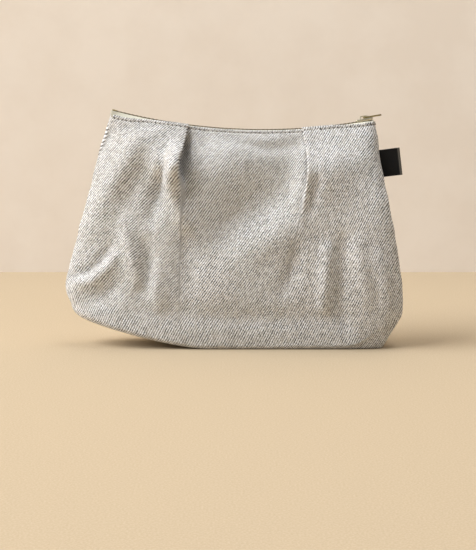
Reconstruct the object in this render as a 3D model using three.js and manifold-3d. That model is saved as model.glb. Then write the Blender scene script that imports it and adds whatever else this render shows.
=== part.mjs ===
// A pleated zip pouch, in millimetres, Z up, X to the right, Y away from the viewer.
// The origin is on the table, under the middle of the pouch. The front is at negative Y.
//
// The zip lies along a sagging arc. Everything on the zip is drawn straight first, in
// chain coordinates (along the zip, across it, up from it), and is then bent onto the arc.
// The two outer panels, and the lining inside them, are offsets of one smooth surface.

import * as THREE from "three";
import { mergeVertices } from "three/addons/utils/BufferGeometryUtils.js";
import Module from "manifold-3d";

const wasm = await Module();
wasm.setup();

// Zip line: an arc that sags between the two side seams
const ZIP_RADIUS = 438;
const ZIP_LOW_X = 22.1;
const ZIP_LOW_Z = 159.7;
const ZIP_START = -112.6;
const ZIP_END = 81.2;

// Zip chain
const TOOTH_PITCH = 3.0;
const TOOTH_HALF_WIDTH = 0.6;
const TOOTH_HALF_HEIGHT = 1.05;
const TOOTH_NECK = 0.75;
const TOOTH_NECK_HALF_WIDTH = 0.4;
const TOOTH_OVERLAP = 0.45;
const TOOTH_CLAMP = 0.25;
const NECK_HEIGHT_SHARE = 0.8;
const HEAD_HEIGHT_SHARE = 0.55;
const CORD_START_INSET = 0.4;
const CORD_END_INSET = 0.6;
const CORD_RADIUS = 0.5;
const CORD_OFFSET = 2.1;
const ROW_SPREAD = 1.4;
const TAPE_THICK = 0.5;
const TAPE_REACH = 6.6;
const TAPE_TAIL = 0.6;
const HEM_DOWN = 0.055;
const HEM_RUN_OUT = [0.64, 0.78];
const HEM_STUB = 0.3;
const LIP_GAP = 0.45;
const MIN_RIBBON = 1.3;
const STATION_STEP = 9;
const FINE_STEP = 1.8;
const RUNNING_GAP = 0.25;
const SEW_GAP = 0.3;

// Slider and pull tab
const SLIDER_LENGTH = 12.2;
const FLARE_FROM_NOSE = 9.2;
const FLARE_TO_NOSE = 4.6;
const SPREAD_FROM_NOSE = 9;
const SPREAD_TO_NOSE = 3.5;
const PLATE_THICK = 1.0;
const WALL_THICK = 0.7;
const SLOT_HALF_HEIGHT = 0.6;
const WEDGE_HALF_WIDTH = 0.7;
const WEDGE_LENGTH = 5.5;
const WEDGE_SETBACK = 0.5;
const WEDGE_SHOULDERS = [3.4, 1.1];
const WEDGE_POINT = 0.1;
const TAIL_CHAMFER = [0.9, 0.7];
const NOSE_CHAMFER = [1.6, 1];
const CUT_MARGIN = 1;
const BAIL_WIDTH = 1.6;
const BAIL_LENGTH = 6.4;
const BAIL_THICK = 0.9;
const BAIL_SINK = 0.2;
const BAIL_CORNER = 0.3;
const BAIL_SHOULDER = 0.9;
const BAR_GAP = 0.2;
const PULL_BAR_RADIUS = 0.5;
const PULL_LENGTH = 13;
const PULL_WIDTH = 5.2;
const PULL_TIP_WIDTH = 6.4;
const PULL_THICK = 1.1;
const PULL_WINDOW = 3.9;
const PULL_WAIST = [7.6, 2.9];
const PULL_TIP_RUN = 1.6;
const PULL_TIP_CORNERS = [[0.4, 0.7], [0, 2]];

// Stops
const STOP_LENGTH = 3.3;
const TOP_STOP_LENGTH = 2.2;
const STOP_WALL = 0.45;
const STOP_CHAMFER = 0.3;
const TOP_STOP_WALL = 0.35;
const TOP_STOP_GAP = 0.15;
const TOP_STOP_LIP = 0.1;
const TOP_STOP_SETBACK = 0.3;

// Cloth
const PANEL_THICK = 0.9;
const LINING_THICK = 0.4;
const LINING_START = 0.03;
const SEAM_GAP = 0.3;
const MOUTH_DROP = 0.4;
const CORNER_DROP = 3.0;
const CORNER_FADE = [0.66, 0.92];
const CORNER_MARGIN = 0.8;

// Side seams of the filled pouch, seen from the front: the points between the zip and the base
const LEFT_SEAM = [[-101.3, 139], [-110.0, 103.4], [-119.2, 68], [-124.4, 44]];
const RIGHT_SEAM = [[110.2, 139], [115.6, 103.4], [120.6, 70], [124.4, 42]];
const LEFT_BASE_X = -121;
const RIGHT_BASE_X = 121.5;

// Half depth of the pouch and squareness of its plan, at the same stations down the side seams,
// and how far the plan there slopes like a lens. The right part of it slopes less.
const HALF_DEPTH = [7.6, 20, 26.5, 27.2, 26, 24];
const SQUARENESS = [10, 8, 7, 6, 5, 5];
const SLOPE_SHARE = [0.2, 0.72, 0.78, 0.66, 0.4, 0.1];
const RIGHT_FLATNESS = 0.85;
const FLATNESS_FADE = [-0.2, 0.5];

// Base: flat on the table, except that its left end curls up
const CURL_HEIGHT = 22;
const CURL_START = -22;
const CURL_LENGTH = 90;
const CURL_POWER = 1.35;
const FRONT_FOLD = 5;
const LEFT_FOLD = 7;
const RIGHT_FOLD = 15;
const END_FOLD_FADE = [0.7, 1];
const BASE_DRAW_IN = 0.03;

// Knife pleats: the outer flaps face the middle of the pouch. A pleat is held at the mouth, puffs
// out below it, opens by a share of the wall's height, and its flap runs out to the side.
const FOLD_GAP = 0.4;
const PLEAT_OVERLAP = 9.5;
const PLEAT_SPAN = 0.56;
const PLEAT_HOLD = 0.08;
const PLEAT_MIN_RUN = 1.2;
const PLEAT_RUN_FADE = [0.05, 0.39];
const PLEAT_PUFF_DOWN = 0.16;
const PLEAT_PUFF_REACH = 0.1;
const LEFT_PLEAT = { x: [-33.5, -38.6, -40, -42], openBy: 0.4, puff: 0.9, runOut: 20 };
const RIGHT_PLEAT = { x: [50.8, 54, 49.5, 42], openBy: 0.46, puff: 0.3, runOut: 46 };

// Main folds of the cloth: lines of [x, z] points on the wall, with a height (negative for a
// hollow) and a half width. The back hangs more evenly.
const FRONT_FOLDS = [
  { line: [[-60, 162], [-69, 150], [-80, 132], [-91, 114], [-103, 90]], height: 6.5, halfWidth: 11 },
  { line: [[-66, 132], [-75, 118], [-83, 106]], height: -2, halfWidth: 7 },
  { line: [[-49, 145], [-52, 130], [-56, 116], [-60, 98]], height: -6, halfWidth: 6 },
  { line: [[-45, 142], [-46, 124], [-42, 108], [-36, 92]], height: 5.5, halfWidth: 5.5 },
  { line: [[38, 124], [20, 109], [0, 95], [-20, 83]], height: -8.5, halfWidth: 17 },
  { line: [[-24, 134], [-6, 144], [16, 150]], height: 3, halfWidth: 12 },
  { line: [[58, 108], [44, 94], [26, 82], [8, 72]], height: 4.5, halfWidth: 12 },
  { line: [[94, 140], [98, 112], [102, 80], [102, 50]], height: 4.5, halfWidth: 24 },
  { line: [[-115, 47], [-103, 50], [-94, 58], [-86, 68]], height: 4, halfWidth: 5 },
  { line: [[-64, 78], [-62, 66], [-64, 54], [-67, 42]], height: -4.4, halfWidth: 5 },
];
const BACK_FOLDS = [
  { line: [[-55, 152], [-74, 124], [-90, 96]], height: 4.5, halfWidth: 12 },
  { line: [[-44, 140], [-50, 112], [-52, 88]], height: -3.5, halfWidth: 8 },
  { line: [[48, 128], [40, 100], [28, 76]], height: 4.5, halfWidth: 12 },
  { line: [[10, 126], [0, 98], [-6, 70]], height: -4.5, halfWidth: 15 },
];
const FOLD_END_FADE = 0.12;
const FOLD_FADE_POWER = 0.6;
const BASE_FADE = [1, 1.5];
const MOUTH_FADE = [0.01, 0.1];
const SEAM_FADE = [0, 0.35];
const LINING_EASE = 4;
const LINING_SLACK = 1.35;

// Side tag: a folded tape held in the right side seam
const TAG_HEIGHT = 135.3;
const TAG_WIDTH = 20;
const TAG_REACH = 12.9;
const TAG_TAPE = 0.6;
const TAG_LOOP_RADIUS = 1.35;
const TAG_LAYER_GAP = 0.05;
const TAG_ROOT = 1.5;
const TAG_PUFF_START = 4.6;
const TAG_CURVE_SEGMENTS = 6;

// Shared values worked out from the sizes above
const HALF_PI = Math.PI / 2;
const ZIP_CENTRE_Z = ZIP_LOW_Z + ZIP_RADIUS;
const HALF_PANEL = PANEL_THICK / 2;
const CHANNEL_HALF_HEIGHT = TOOTH_HALF_HEIGHT + RUNNING_GAP;
const SLIDER_HALF_HEIGHT = CHANNEL_HALF_HEIGHT + PLATE_THICK;
const ROOT_OUTER = CORD_OFFSET + CORD_RADIUS + 0.1;
const TAPE_INNER = CORD_OFFSET + CORD_RADIUS + SEW_GAP;
const TAIL_INNER = ROOT_OUTER + RUNNING_GAP;
const NOSE_INNER = ROOT_OUTER + ROW_SPREAD + RUNNING_GAP;
const PULL_AXIS_HEIGHT = SLIDER_HALF_HEIGHT + PULL_BAR_RADIUS + BAR_GAP;
const SLIDER_NOSE = ZIP_END - 0.3;
const SLIDER_MIDDLE = SLIDER_NOSE - SLIDER_LENGTH / 2;
const TEETH_END = SLIDER_NOSE - TOP_STOP_LENGTH - 1.6;
const FOLD_RADIUS = (PANEL_THICK + FOLD_GAP) / 2;
const FOLD_ARC = Math.PI * FOLD_RADIUS;
const LINING_INSET = HALF_PANEL + SEW_GAP + TAPE_THICK + SEW_GAP + LINING_THICK / 2;

const COLOURS = {
  twill: { color: 0xb4aca0, roughness: 0.95, metalness: 0 },
  lining: { color: 0xc9c6bd, roughness: 0.9, metalness: 0 },
  tape: { color: 0xa9aa9c, roughness: 0.9, metalness: 0 },
  teeth: { color: 0x4a4334, roughness: 0.45, metalness: 0.9 },
  brass: { color: 0x8a7b4e, roughness: 0.35, metalness: 1 },
  dark: { color: 0x151515, roughness: 0.9, metalness: 0 },
};

const lerp = THREE.MathUtils.lerp;
const smoothstep = THREE.MathUtils.smoothstep;

function namedMesh(name, geometry, look) {
  geometry.computeVertexNormals();
  const mesh = new THREE.Mesh(geometry, new THREE.MeshStandardMaterial(COLOURS[look]));
  mesh.name = name;
  return mesh;
}

// Joins and cuts

function solidOf(geometry) {
  const bare = geometry.index ? geometry.clone() : geometry;
  bare.deleteAttribute("normal");
  bare.deleteAttribute("uv");
  const merged = mergeVertices(bare, 1e-4);
  const vertProperties = new Float32Array(merged.attributes.position.array);
  const triVerts = new Uint32Array(merged.index.array);
  return new wasm.Manifold(new wasm.Mesh({ numProp: 3, vertProperties, triVerts }));
}

function geometryOf(solid) {
  const mesh = solid.getMesh();
  const geometry = new THREE.BufferGeometry();
  geometry.setAttribute("position", new THREE.BufferAttribute(new Float32Array(mesh.vertProperties), 3));
  geometry.setIndex(new THREE.BufferAttribute(new Uint32Array(mesh.triVerts), 1));
  return geometry;
}

function joined(geometries) {
  return geometries.map(solidOf).reduce((whole, next) => whole.add(next));
}

// A closed body from rings of points, all with the same number of points. The end caps are
// cut from the flat outline that the rings follow, which may be hollow-cheeked.
function loft(rings, outline) {
  const count = rings[0].length;
  const positions = rings.flat().flatMap((point) => [point.x, point.y, point.z]);
  const faces = [];
  for (let ring = 0; ring < rings.length - 1; ring += 1) {
    for (let side = 0; side < count; side += 1) {
      const a = ring * count + side;
      const b = ring * count + ((side + 1) % count);
      faces.push(a, b, b + count, a, b + count, a + count);
    }
  }
  const last = (rings.length - 1) * count;
  const corners = outline.map(([x, y]) => new THREE.Vector2(x, y));
  for (const [a, b, c] of THREE.ShapeUtils.triangulateShape(corners, [])) {
    faces.push(a, c, b);
    faces.push(last + a, last + b, last + c);
  }
  return outwardGeometry(positions, faces);
}

// Builds an indexed geometry and turns it inside out if its volume comes out negative
function outwardGeometry(positions, faces) {
  let volume = 0;
  const corner = [0, 1, 2].map(() => new THREE.Vector3());
  for (let face = 0; face < faces.length; face += 3) {
    corner.forEach((point, k) => point.fromArray(positions, faces[face + k] * 3));
    volume += corner[0].dot(corner[1].clone().cross(corner[2]));
  }
  const outward = volume > 0 ? faces : [...faces].reverse();
  const geometry = new THREE.BufferGeometry();
  geometry.setAttribute("position", new THREE.Float32BufferAttribute(positions, 3));
  geometry.setIndex(outward);
  return geometry;
}

// An outline given as [x, y] pairs, extruded along +Z from z = low to z = high
function prism(outline, low, high) {
  const shape = new THREE.Shape(outline.map(([x, y]) => new THREE.Vector2(x, y)));
  const geometry = new THREE.ExtrudeGeometry(shape, { depth: high - low, bevelEnabled: false });
  return geometry.translate(0, 0, low);
}

// The same, extruded across the zip: the outline is given as [along, up] pairs
function crossPrism(outline, halfWidth) {
  const geometry = prism(outline, -halfWidth, halfWidth);
  return geometry.rotateX(HALF_PI);
}

// Chain coordinates

function chainPoint(along, across, up) {
  const angle = along / ZIP_RADIUS;
  const reach = ZIP_RADIUS - up;
  return new THREE.Vector3(
    ZIP_LOW_X + reach * Math.sin(angle),
    across,
    ZIP_CENTRE_Z - reach * Math.cos(angle),
  );
}

function bendOntoChain(geometry) {
  const position = geometry.attributes.position;
  for (let k = 0; k < position.count; k += 1) {
    const bent = chainPoint(position.getX(k), position.getY(k), position.getZ(k));
    position.setXYZ(k, bent.x, bent.y, bent.z);
  }
  return geometry;
}

function chainHeight(x) {
  return ZIP_CENTRE_Z - Math.sqrt(ZIP_RADIUS ** 2 - (x - ZIP_LOW_X) ** 2);
}

// How far the slider's wedge pushes each row of teeth aside
function rowSpread(along) {
  return ROW_SPREAD * smoothstep(along, SLIDER_NOSE - SPREAD_FROM_NOSE, SLIDER_NOSE - SPREAD_TO_NOSE);
}

function stations(from, to, step) {
  const count = Math.max(1, Math.round((to - from) / step));
  return Array.from({ length: count + 1 }, (_, k) => lerp(from, to, k / count));
}

function chainStations(from, to) {
  const spreadStart = SLIDER_NOSE - SPREAD_FROM_NOSE;
  if (to <= spreadStart) return stations(from, to, STATION_STEP);
  const fine = stations(spreadStart, to, FINE_STEP).slice(1);
  return [...stations(from, spreadStart, STATION_STEP), ...fine];
}

// Outer surface of the pouch. theta runs from -90 degrees at the left side seam to 90 at the
// right. down is 0 at the mouth and 1 at the foot of the wall, then 1 to 2 round the lower
// fold and 2 to 3 in across the base to its middle seam.

const leftTop = chainPoint(ZIP_START, 0, 0).x - CORNER_MARGIN;
const rightTop = chainPoint(ZIP_END, 0, 0).x + CORNER_MARGIN;

function topEdge(x) {
  const middle = (leftTop + rightTop) / 2;
  const offset = Math.abs(x - middle) / ((rightTop - leftTop) / 2);
  const drop = MOUTH_DROP + (CORNER_DROP - MOUTH_DROP) * smoothstep(offset, ...CORNER_FADE);
  return chainHeight(x) - drop;
}

function curl(x) {
  return CURL_HEIGHT * (Math.max(0, CURL_START - x) / CURL_LENGTH) ** CURL_POWER;
}

function foldHeight(xi) {
  const endFold = xi < 0 ? LEFT_FOLD : RIGHT_FOLD;
  return lerp(FRONT_FOLD, endFold, smoothstep(Math.abs(xi), ...END_FOLD_FADE));
}

function seamCurve(topX, points, footX, side) {
  const foot = [footX, curl(footX) + HALF_PANEL + foldHeight(side)];
  const all = [[topX, topEdge(topX)], ...points, foot];
  return new THREE.SplineCurve(all.map(([x, z]) => new THREE.Vector2(x, z)));
}

const leftSeam = seamCurve(leftTop, LEFT_SEAM, LEFT_BASE_X, -1);
const rightSeam = seamCurve(rightTop, RIGHT_SEAM, RIGHT_BASE_X, 1);

// A smooth curve through evenly spaced values
function along(values, share) {
  const curve = new THREE.SplineCurve(values.map((value, k) => new THREE.Vector2(k, value)));
  return curve.getPoint(THREE.MathUtils.clamp(share, 0, 1)).y;
}

function wallPoint(theta, down) {
  const xi = Math.sin(theta);
  const share = (xi + 1) / 2;
  const left = leftSeam.getPoint(down);
  const right = rightSeam.getPoint(down);
  const [leftStart, leftFoot] = [leftSeam.getPoint(0), leftSeam.getPoint(1)];
  const [rightStart, rightFoot] = [rightSeam.getPoint(0), rightSeam.getPoint(1)];
  const leftFall = (leftStart.y - left.y) / (leftStart.y - leftFoot.y);
  const rightFall = (rightStart.y - right.y) / (rightStart.y - rightFoot.y);
  const footX = lerp(leftFoot.x, rightFoot.x, share);
  const top = topEdge(lerp(leftTop, rightTop, share));
  const foot = curl(footX) + HALF_PANEL + foldHeight(xi);
  const squareness = along(SQUARENESS, down);
  const boxy = Math.sqrt(Math.max(0, 1 - Math.abs(xi) ** squareness));
  const slope = along(SLOPE_SHARE, down) * (1 - RIGHT_FLATNESS * smoothstep(xi, ...FLATNESS_FADE));
  const bulge = lerp(boxy, 1 - xi ** 2, slope);
  return new THREE.Vector3(
    lerp(left.x, right.x, share),
    -SEAM_GAP / 2 - along(HALF_DEPTH, down) * bulge,
    lerp(top, foot, lerp(leftFall, rightFall, share)),
  );
}

function foldPoint(theta, turn) {
  const foot = wallPoint(theta, 1);
  const xi = Math.sin(theta);
  const middle = (LEFT_BASE_X + RIGHT_BASE_X) / 2;
  const halfLength = (RIGHT_BASE_X - LEFT_BASE_X) / 2;
  const endFold = xi < 0 ? LEFT_FOLD : RIGHT_FOLD;
  const inward = 1 - Math.cos(turn);
  const depth = HALF_DEPTH[HALF_DEPTH.length - 1];
  const x = middle + (foot.x - middle) * (1 - (endFold * inward) / halfLength);
  const y = -SEAM_GAP / 2 + (foot.y + SEAM_GAP / 2) * (1 - (FRONT_FOLD * inward) / depth);
  return new THREE.Vector3(x, y, curl(x) + HALF_PANEL + foldHeight(xi) * (1 - Math.sin(turn)));
}

function surfacePoint(theta, down) {
  if (down <= 1) return wallPoint(theta, down);
  if (down <= 2) return foldPoint(theta, (down - 1) * HALF_PI);
  const rim = foldPoint(theta, HALF_PI);
  const inward = down - 2;
  const middle = (LEFT_BASE_X + RIGHT_BASE_X) / 2;
  const x = middle + (rim.x - middle) * (1 - BASE_DRAW_IN * inward);
  return new THREE.Vector3(
    x,
    lerp(rim.y, -SEAM_GAP / 2, inward),
    curl(x) + HALF_PANEL,
  );
}

// Point and outward normal at one place on the surface
function surfaceFrame(theta, down) {
  const step = 1e-3;
  const sideways = [Math.max(theta - step, -HALF_PI), Math.min(theta + step, HALF_PI)];
  const upDown = [Math.max(down - step, 0), Math.min(down + step, 3)];
  const tangent = surfacePoint(sideways[1], down).sub(surfacePoint(sideways[0], down)).normalize();
  const fall = surfacePoint(theta, upDown[1]).sub(surfacePoint(theta, upDown[0])).normalize();
  const normal = tangent.clone().cross(fall).negate().normalize();
  const point = surfacePoint(theta, down);
  if (down >= 2) {
    const slope = (curl(point.x + step) - curl(point.x - step)) / (2 * step);
    normal.set(slope, 0, -1).normalize();
  } else if (Math.abs(Math.abs(theta) - HALF_PI) < 1e-9) {
    normal.y = 0;
    normal.normalize();
  }
  return { point, normal };
}

function thetaAt(x, down) {
  const [left, right] = [surfacePoint(-HALF_PI, down).x, surfacePoint(HALF_PI, down).x];
  return Math.asin(THREE.MathUtils.clamp((2 * (x - left)) / (right - left) - 1, -1, 1));
}

// Folds

// How near a place is to a line of points, and its share of the way along the line
function nearestOnLine(x, z, line) {
  let nearest = { distance: Infinity, share: 0 };
  for (let k = 0; k < line.length - 1; k += 1) {
    const [startX, startZ] = line[k];
    const [runX, runZ] = [line[k + 1][0] - startX, line[k + 1][1] - startZ];
    const reach = ((x - startX) * runX + (z - startZ) * runZ) / (runX ** 2 + runZ ** 2);
    const part = THREE.MathUtils.clamp(reach, 0, 1);
    const distance = Math.hypot(x - startX - part * runX, z - startZ - part * runZ);
    if (distance < nearest.distance) nearest = { distance, share: (k + part) / (line.length - 1) };
  }
  return nearest;
}

// A fold swells along its line, and fades out at its two ends
function foldRise(point, { line, height, halfWidth }) {
  const { distance, share } = nearestOnLine(point.x, point.z, line);
  const alongFold = lerp(FOLD_END_FADE, 1 - FOLD_END_FADE, share);
  const fade = Math.sin(Math.PI * alongFold) ** FOLD_FADE_POWER;
  return height * fade * Math.exp(-((distance / halfWidth) ** 2));
}

// How far folds lift the cloth off its even shape. They stop short of the mouth, the base and
// the side seams.
function clothLift(point, theta, down, folds) {
  const onWall = 1 - smoothstep(down, ...BASE_FADE);
  const belowMouth = smoothstep(down, ...MOUTH_FADE);
  const offSeam = smoothstep(Math.sqrt(Math.max(0, Math.cos(theta))), ...SEAM_FADE);
  const rise = folds.reduce((sum, fold) => sum + foldRise(point, fold), 0);
  return rise * onWall * belowMouth * offSeam;
}

// Cloth shells

// The outward side of the cloth at one point of its middle surface
function facingAt(grid, row, column) {
  const [above, below] = [grid[Math.max(row - 1, 0)], grid[Math.min(row + 1, grid.length - 1)]];
  const [left, right] = [Math.max(column - 1, 0), Math.min(column + 1, grid[row].length - 1)];
  const fall = below[column].clone().sub(above[column]);
  return fall.cross(grid[row][right].clone().sub(grid[row][left])).normalize();
}

// A closed sheet from a grid of columns. columnsAt(row) lists its columns from left to right:
// where each lies on the surface and how far it stands off it. liftAt adds the folds.
function shell(rows, columnsAt, thickness, liftAt) {
  const frames = rows.map((down) => columnsAt(down).map(({ theta, standOff }) => {
    const { point, normal } = surfaceFrame(theta, down);
    const even = point.addScaledVector(normal, standOff);
    return { middle: even.addScaledVector(normal, liftAt(even, theta, down)), normal };
  }));
  const grid = frames.map((row) => row.map(({ middle }) => middle));
  const outer = [];
  const inner = [];
  frames.forEach((columns, row) => columns.forEach(({ middle, normal }, column) => {
    const onRim = column === 0 || column === columns.length - 1 || rows[row] >= 2;
    const facing = onRim ? normal : facingAt(grid, row, column);
    outer.push(middle.clone().addScaledVector(facing, thickness / 2));
    inner.push(middle.clone().addScaledVector(facing, -thickness / 2));
  }));
  const width = columnsAt(rows[0]).length;
  const height = rows.length;
  const index = (layer, row, column) => layer * width * height + row * width + column;
  const faces = [];
  const quad = (a, b, c, d) => faces.push(a, b, c, a, c, d);
  for (let row = 0; row < height - 1; row += 1) {
    for (let column = 0; column < width - 1; column += 1) {
      const corners = [[row, column], [row + 1, column], [row + 1, column + 1], [row, column + 1]];
      quad(...corners.map(([r, c]) => index(0, r, c)));
      quad(...corners.map(([r, c]) => index(1, r, c)).reverse());
    }
    const last = width - 1;
    quad(index(0, row, 0), index(1, row, 0), index(1, row + 1, 0), index(0, row + 1, 0));
    quad(index(0, row, last), index(0, row + 1, last), index(1, row + 1, last), index(1, row, last));
  }
  for (let column = 0; column < width - 1; column += 1) {
    const last = height - 1;
    quad(index(0, 0, column), index(0, 0, column + 1), index(1, 0, column + 1), index(1, 0, column));
    quad(
      index(0, last, column),
      index(1, last, column),
      index(1, last, column + 1),
      index(0, last, column + 1),
    );
  }
  const positions = [...outer, ...inner].flatMap((point) => [point.x, point.y, point.z]);
  return outwardGeometry(positions, faces);
}

function mirroredAcross(geometry) {
  const back = geometry.clone();
  back.scale(1, -1, 1);
  back.setIndex([...geometry.index.array].reverse());
  return back;
}

// One knife pleat as a path across the panel. It starts on the flap, turns back under it and
// comes out again on the panel's middle. Lengths run from the flap's side, and standOff is
// measured from the middle of the panel.
function pleatPath({ openBy, puff }, down) {
  const open = smoothstep(down, PLEAT_HOLD, openBy);
  const angle = Math.max(1e-3, Math.PI * (1 - open));
  const radius = FOLD_ARC / angle;
  const run = lerp(PLEAT_OVERLAP, PLEAT_MIN_RUN, smoothstep(down, ...PLEAT_RUN_FADE));
  const swell = 1 + puff * Math.exp(-(((down - PLEAT_PUFF_DOWN) / PLEAT_PUFF_REACH) ** 2));
  const [arcX, arcFall] = [radius * Math.sin(angle), radius * (1 - Math.cos(angle))];
  const depth = 2 * arcFall + run * Math.sin(angle);
  const arc = stations(0, angle, angle / PLEAT_ARC_STEPS).map((turn) =>
    [radius * Math.sin(turn), radius * (1 - Math.cos(turn))]);
  const endX = 2 * arcX + run * Math.cos(angle);
  const halfway = [arcX + (run / 2) * Math.cos(angle), depth - arcFall - (run / 2) * Math.sin(angle)];
  const path = [
    ...arc.map(([x, fall]) => [x, depth - fall]),
    halfway,
    ...arc.map(([x, fall]) => [endX - x, fall]).reverse(),
  ];
  return {
    path: path.map(([x, standOff]) => ({ x, standOff: standOff * swell })),
    depth: depth * swell,
    held: run + FOLD_RADIUS * 2,
  };
}

function outerColumns(from, to, count, standOffAt) {
  return Array.from({ length: count + 1 }, (_, k) => {
    const theta = lerp(from, to, k / count);
    return { theta, standOff: standOffAt(theta) };
  });
}

// The columns of one flap and its pleat, from the side seam to the panel's middle. side is -1 on
// the left and 1 on the right. The flap stands off the surface by the pleat's depth.
function sideColumns(pleat, side, down, count) {
  const { path, depth, held } = pleatPath(pleat, down);
  const start = along(pleat.x, down / PLEAT_SPAN) + side * FOLD_RADIUS;
  const flap = outerColumns(side * HALF_PI, thetaAt(start, down), count, (theta) => {
    const distance = side * (surfacePoint(theta, down).x - start);
    return depth * (1 - smoothstep(distance, held, held + pleat.runOut));
  });
  const turned = path.map(({ x, standOff }) => ({ theta: thetaAt(start - side * x, down), standOff }));
  return [...flap.slice(0, -1), ...turned];
}

function panelColumns(down) {
  const left = sideColumns(LEFT_PLEAT, -1, down, LEFT_FLAP_COLUMNS);
  const right = sideColumns(RIGHT_PLEAT, 1, down, RIGHT_FLAP_COLUMNS).reverse();
  const middle = outerColumns(left[left.length - 1].theta, right[0].theta, MIDDLE_COLUMNS, () => 0);
  return [...left, ...middle.slice(1, -1), ...right];
}

// How finely the cloth is faceted
const LEFT_FLAP_COLUMNS = 9;
const MIDDLE_COLUMNS = 8;
const RIGHT_FLAP_COLUMNS = 7;
const LINING_COLUMNS = 14;
const PLEAT_ARC_STEPS = 3;

// Row steps down the pleats, down the rest of the wall, round the lower fold and in to the middle
const PANEL_STEPS = [0.08, 0.11, 1 / 3, 1 / 2];
const LINING_STEPS = [0.12, 0.12, 1 / 2, 1 / 2];

function clothRows(start, steps) {
  const ends = [start, PLEAT_SPAN, 1, 2, 3];
  const parts = steps.map((step, k) => stations(ends[k], ends[k + 1], step));
  return [start, ...parts.flatMap((part) => part.slice(1))];
}

function liningColumns() {
  return outerColumns(-HALF_PI, HALF_PI, LINING_COLUMNS, () => -LINING_INSET);
}

// The slot that the side tag passes through, as a solid to take out of the panels
const tagTurn = seamTilt(TAG_HEIGHT);
const tagCentre = seamAt(TAG_HEIGHT);

function seamShare(height) {
  let [low, high] = [0, 1];
  while (high - low > 1e-6) {
    const middle = (low + high) / 2;
    if (rightSeam.getPoint(middle).y > height) low = middle;
    else high = middle;
  }
  return low;
}

function seamAt(height) {
  const { x, y } = rightSeam.getPoint(seamShare(height));
  return new THREE.Vector3(x + HALF_PANEL, 0, y);
}

function seamTilt(height) {
  const direction = rightSeam.getTangent(seamShare(height));
  return Math.atan2(direction.x, -direction.y);
}

function tagPlaced(object) {
  object.position.copy(tagCentre);
  object.rotation.y = -tagTurn;
  return object;
}

function tagSlot() {
  const halfThick = TAG_TAPE + TAG_LAYER_GAP + SEW_GAP;
  const slot = new THREE.BoxGeometry(2 * TAG_REACH, 2 * halfThick, TAG_WIDTH + 2 * SEW_GAP);
  slot.rotateY(-tagTurn);
  return slot.translate(tagCentre.x, 0, tagCentre.z);
}

function panel(folds) {
  const liftAt = (point, theta, down) => clothLift(point, theta, down, folds);
  const cloth = solidOf(shell(clothRows(0, PANEL_STEPS), panelColumns, PANEL_THICK, liftAt));
  return geometryOf(cloth.subtract(solidOf(tagSlot())));
}

// The lining hangs clear of the panel's hollows, and doesn't follow its ridges
function lining(folds) {
  const hollows = folds.filter(({ height }) => height < 0).map(({ line, height, halfWidth }) =>
    ({ line, height: height * LINING_SLACK, halfWidth: halfWidth + LINING_EASE }));
  const liftAt = (point, theta, down) => clothLift(point, theta, down, hollows);
  return shell(clothRows(LINING_START, LINING_STEPS), liningColumns, LINING_THICK, liftAt);
}

// Zip

// One tape: a flat ribbon beside the teeth, then a hem that hangs down inside the panel.
// The hem follows the panel's inner face, and runs out before the corners of the mouth.
const TAPE_SECTION = [[0, -1], [2, -1], [2, -3], [3, -3], [3, 0], [2, 1], [0, 1]];

function tapeRing(at, side) {
  const half = TAPE_THICK / 2;
  const { x } = chainPoint(at, 0, 0);
  const offset = Math.abs((2 * (x - leftTop)) / (rightTop - leftTop) - 1);
  const runOut = smoothstep(offset, ...HEM_RUN_OUT);
  const inner = TAPE_INNER + rowSpread(at);
  const mouth = Math.abs(surfacePoint(thetaAt(x, 0), 0).y) - HALF_PANEL - LIP_GAP;
  const outer = THREE.MathUtils.clamp(mouth, inner + MIN_RIBBON, TAPE_REACH + half);
  const hemFrame = surfaceFrame(thetaAt(x, HEM_DOWN), HEM_DOWN);
  const hemPoint = (inset, across) => {
    const { point, normal } = hemFrame;
    const hung = point.clone().addScaledVector(normal, -HALF_PANEL - SEW_GAP - inset);
    hung.y *= -side;
    return hung.lerp(chainPoint(at, side * across, -HEM_STUB), runOut);
  };
  return [
    chainPoint(at, side * inner, -half),
    chainPoint(at, side * (outer - TAPE_THICK), -half),
    hemPoint(TAPE_THICK, outer - TAPE_THICK),
    hemPoint(0, outer),
    chainPoint(at, side * outer, 0),
    chainPoint(at, side * (outer - half), half),
    chainPoint(at, side * inner, half),
  ];
}

function zipTape(side) {
  const rings = chainStations(ZIP_START - TAPE_TAIL, ZIP_END).map((at) => tapeRing(at, side));
  return loft(rings, TAPE_SECTION);
}

// A tooth clamped on the cord: a block round the cord, a narrow neck and a wider head
function tooth(at, side) {
  const sections = [
    [ROOT_OUTER, TOOTH_HALF_WIDTH, TOOTH_HALF_HEIGHT],
    [CORD_OFFSET - CORD_RADIUS - TOOTH_CLAMP, TOOTH_HALF_WIDTH, TOOTH_HALF_HEIGHT],
    [TOOTH_NECK, TOOTH_NECK_HALF_WIDTH, TOOTH_HALF_HEIGHT * NECK_HEIGHT_SHARE],
    [-TOOTH_OVERLAP, TOOTH_HALF_WIDTH, TOOTH_HALF_HEIGHT * HEAD_HEIGHT_SHARE],
  ];
  const corners = [[-1, -1], [1, -1], [1, 1], [-1, 1]];
  const rings = sections.map(([across, halfWidth, halfHeight]) => corners.map(([s, w]) => {
    const place = at + s * halfWidth;
    return chainPoint(place, side * (across + rowSpread(place)), w * halfHeight);
  }));
  return loft(rings, corners);
}

function cord(from, to, side) {
  const section = [[CORD_RADIUS, 0], [0, CORD_RADIUS], [-CORD_RADIUS, 0], [0, -CORD_RADIUS]];
  const rings = chainStations(from, to).map((at) => {
    const middle = side * (CORD_OFFSET + rowSpread(at));
    return section.map(([y, w]) => chainPoint(at, middle + y, w));
  });
  return loft(rings, section);
}

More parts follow.
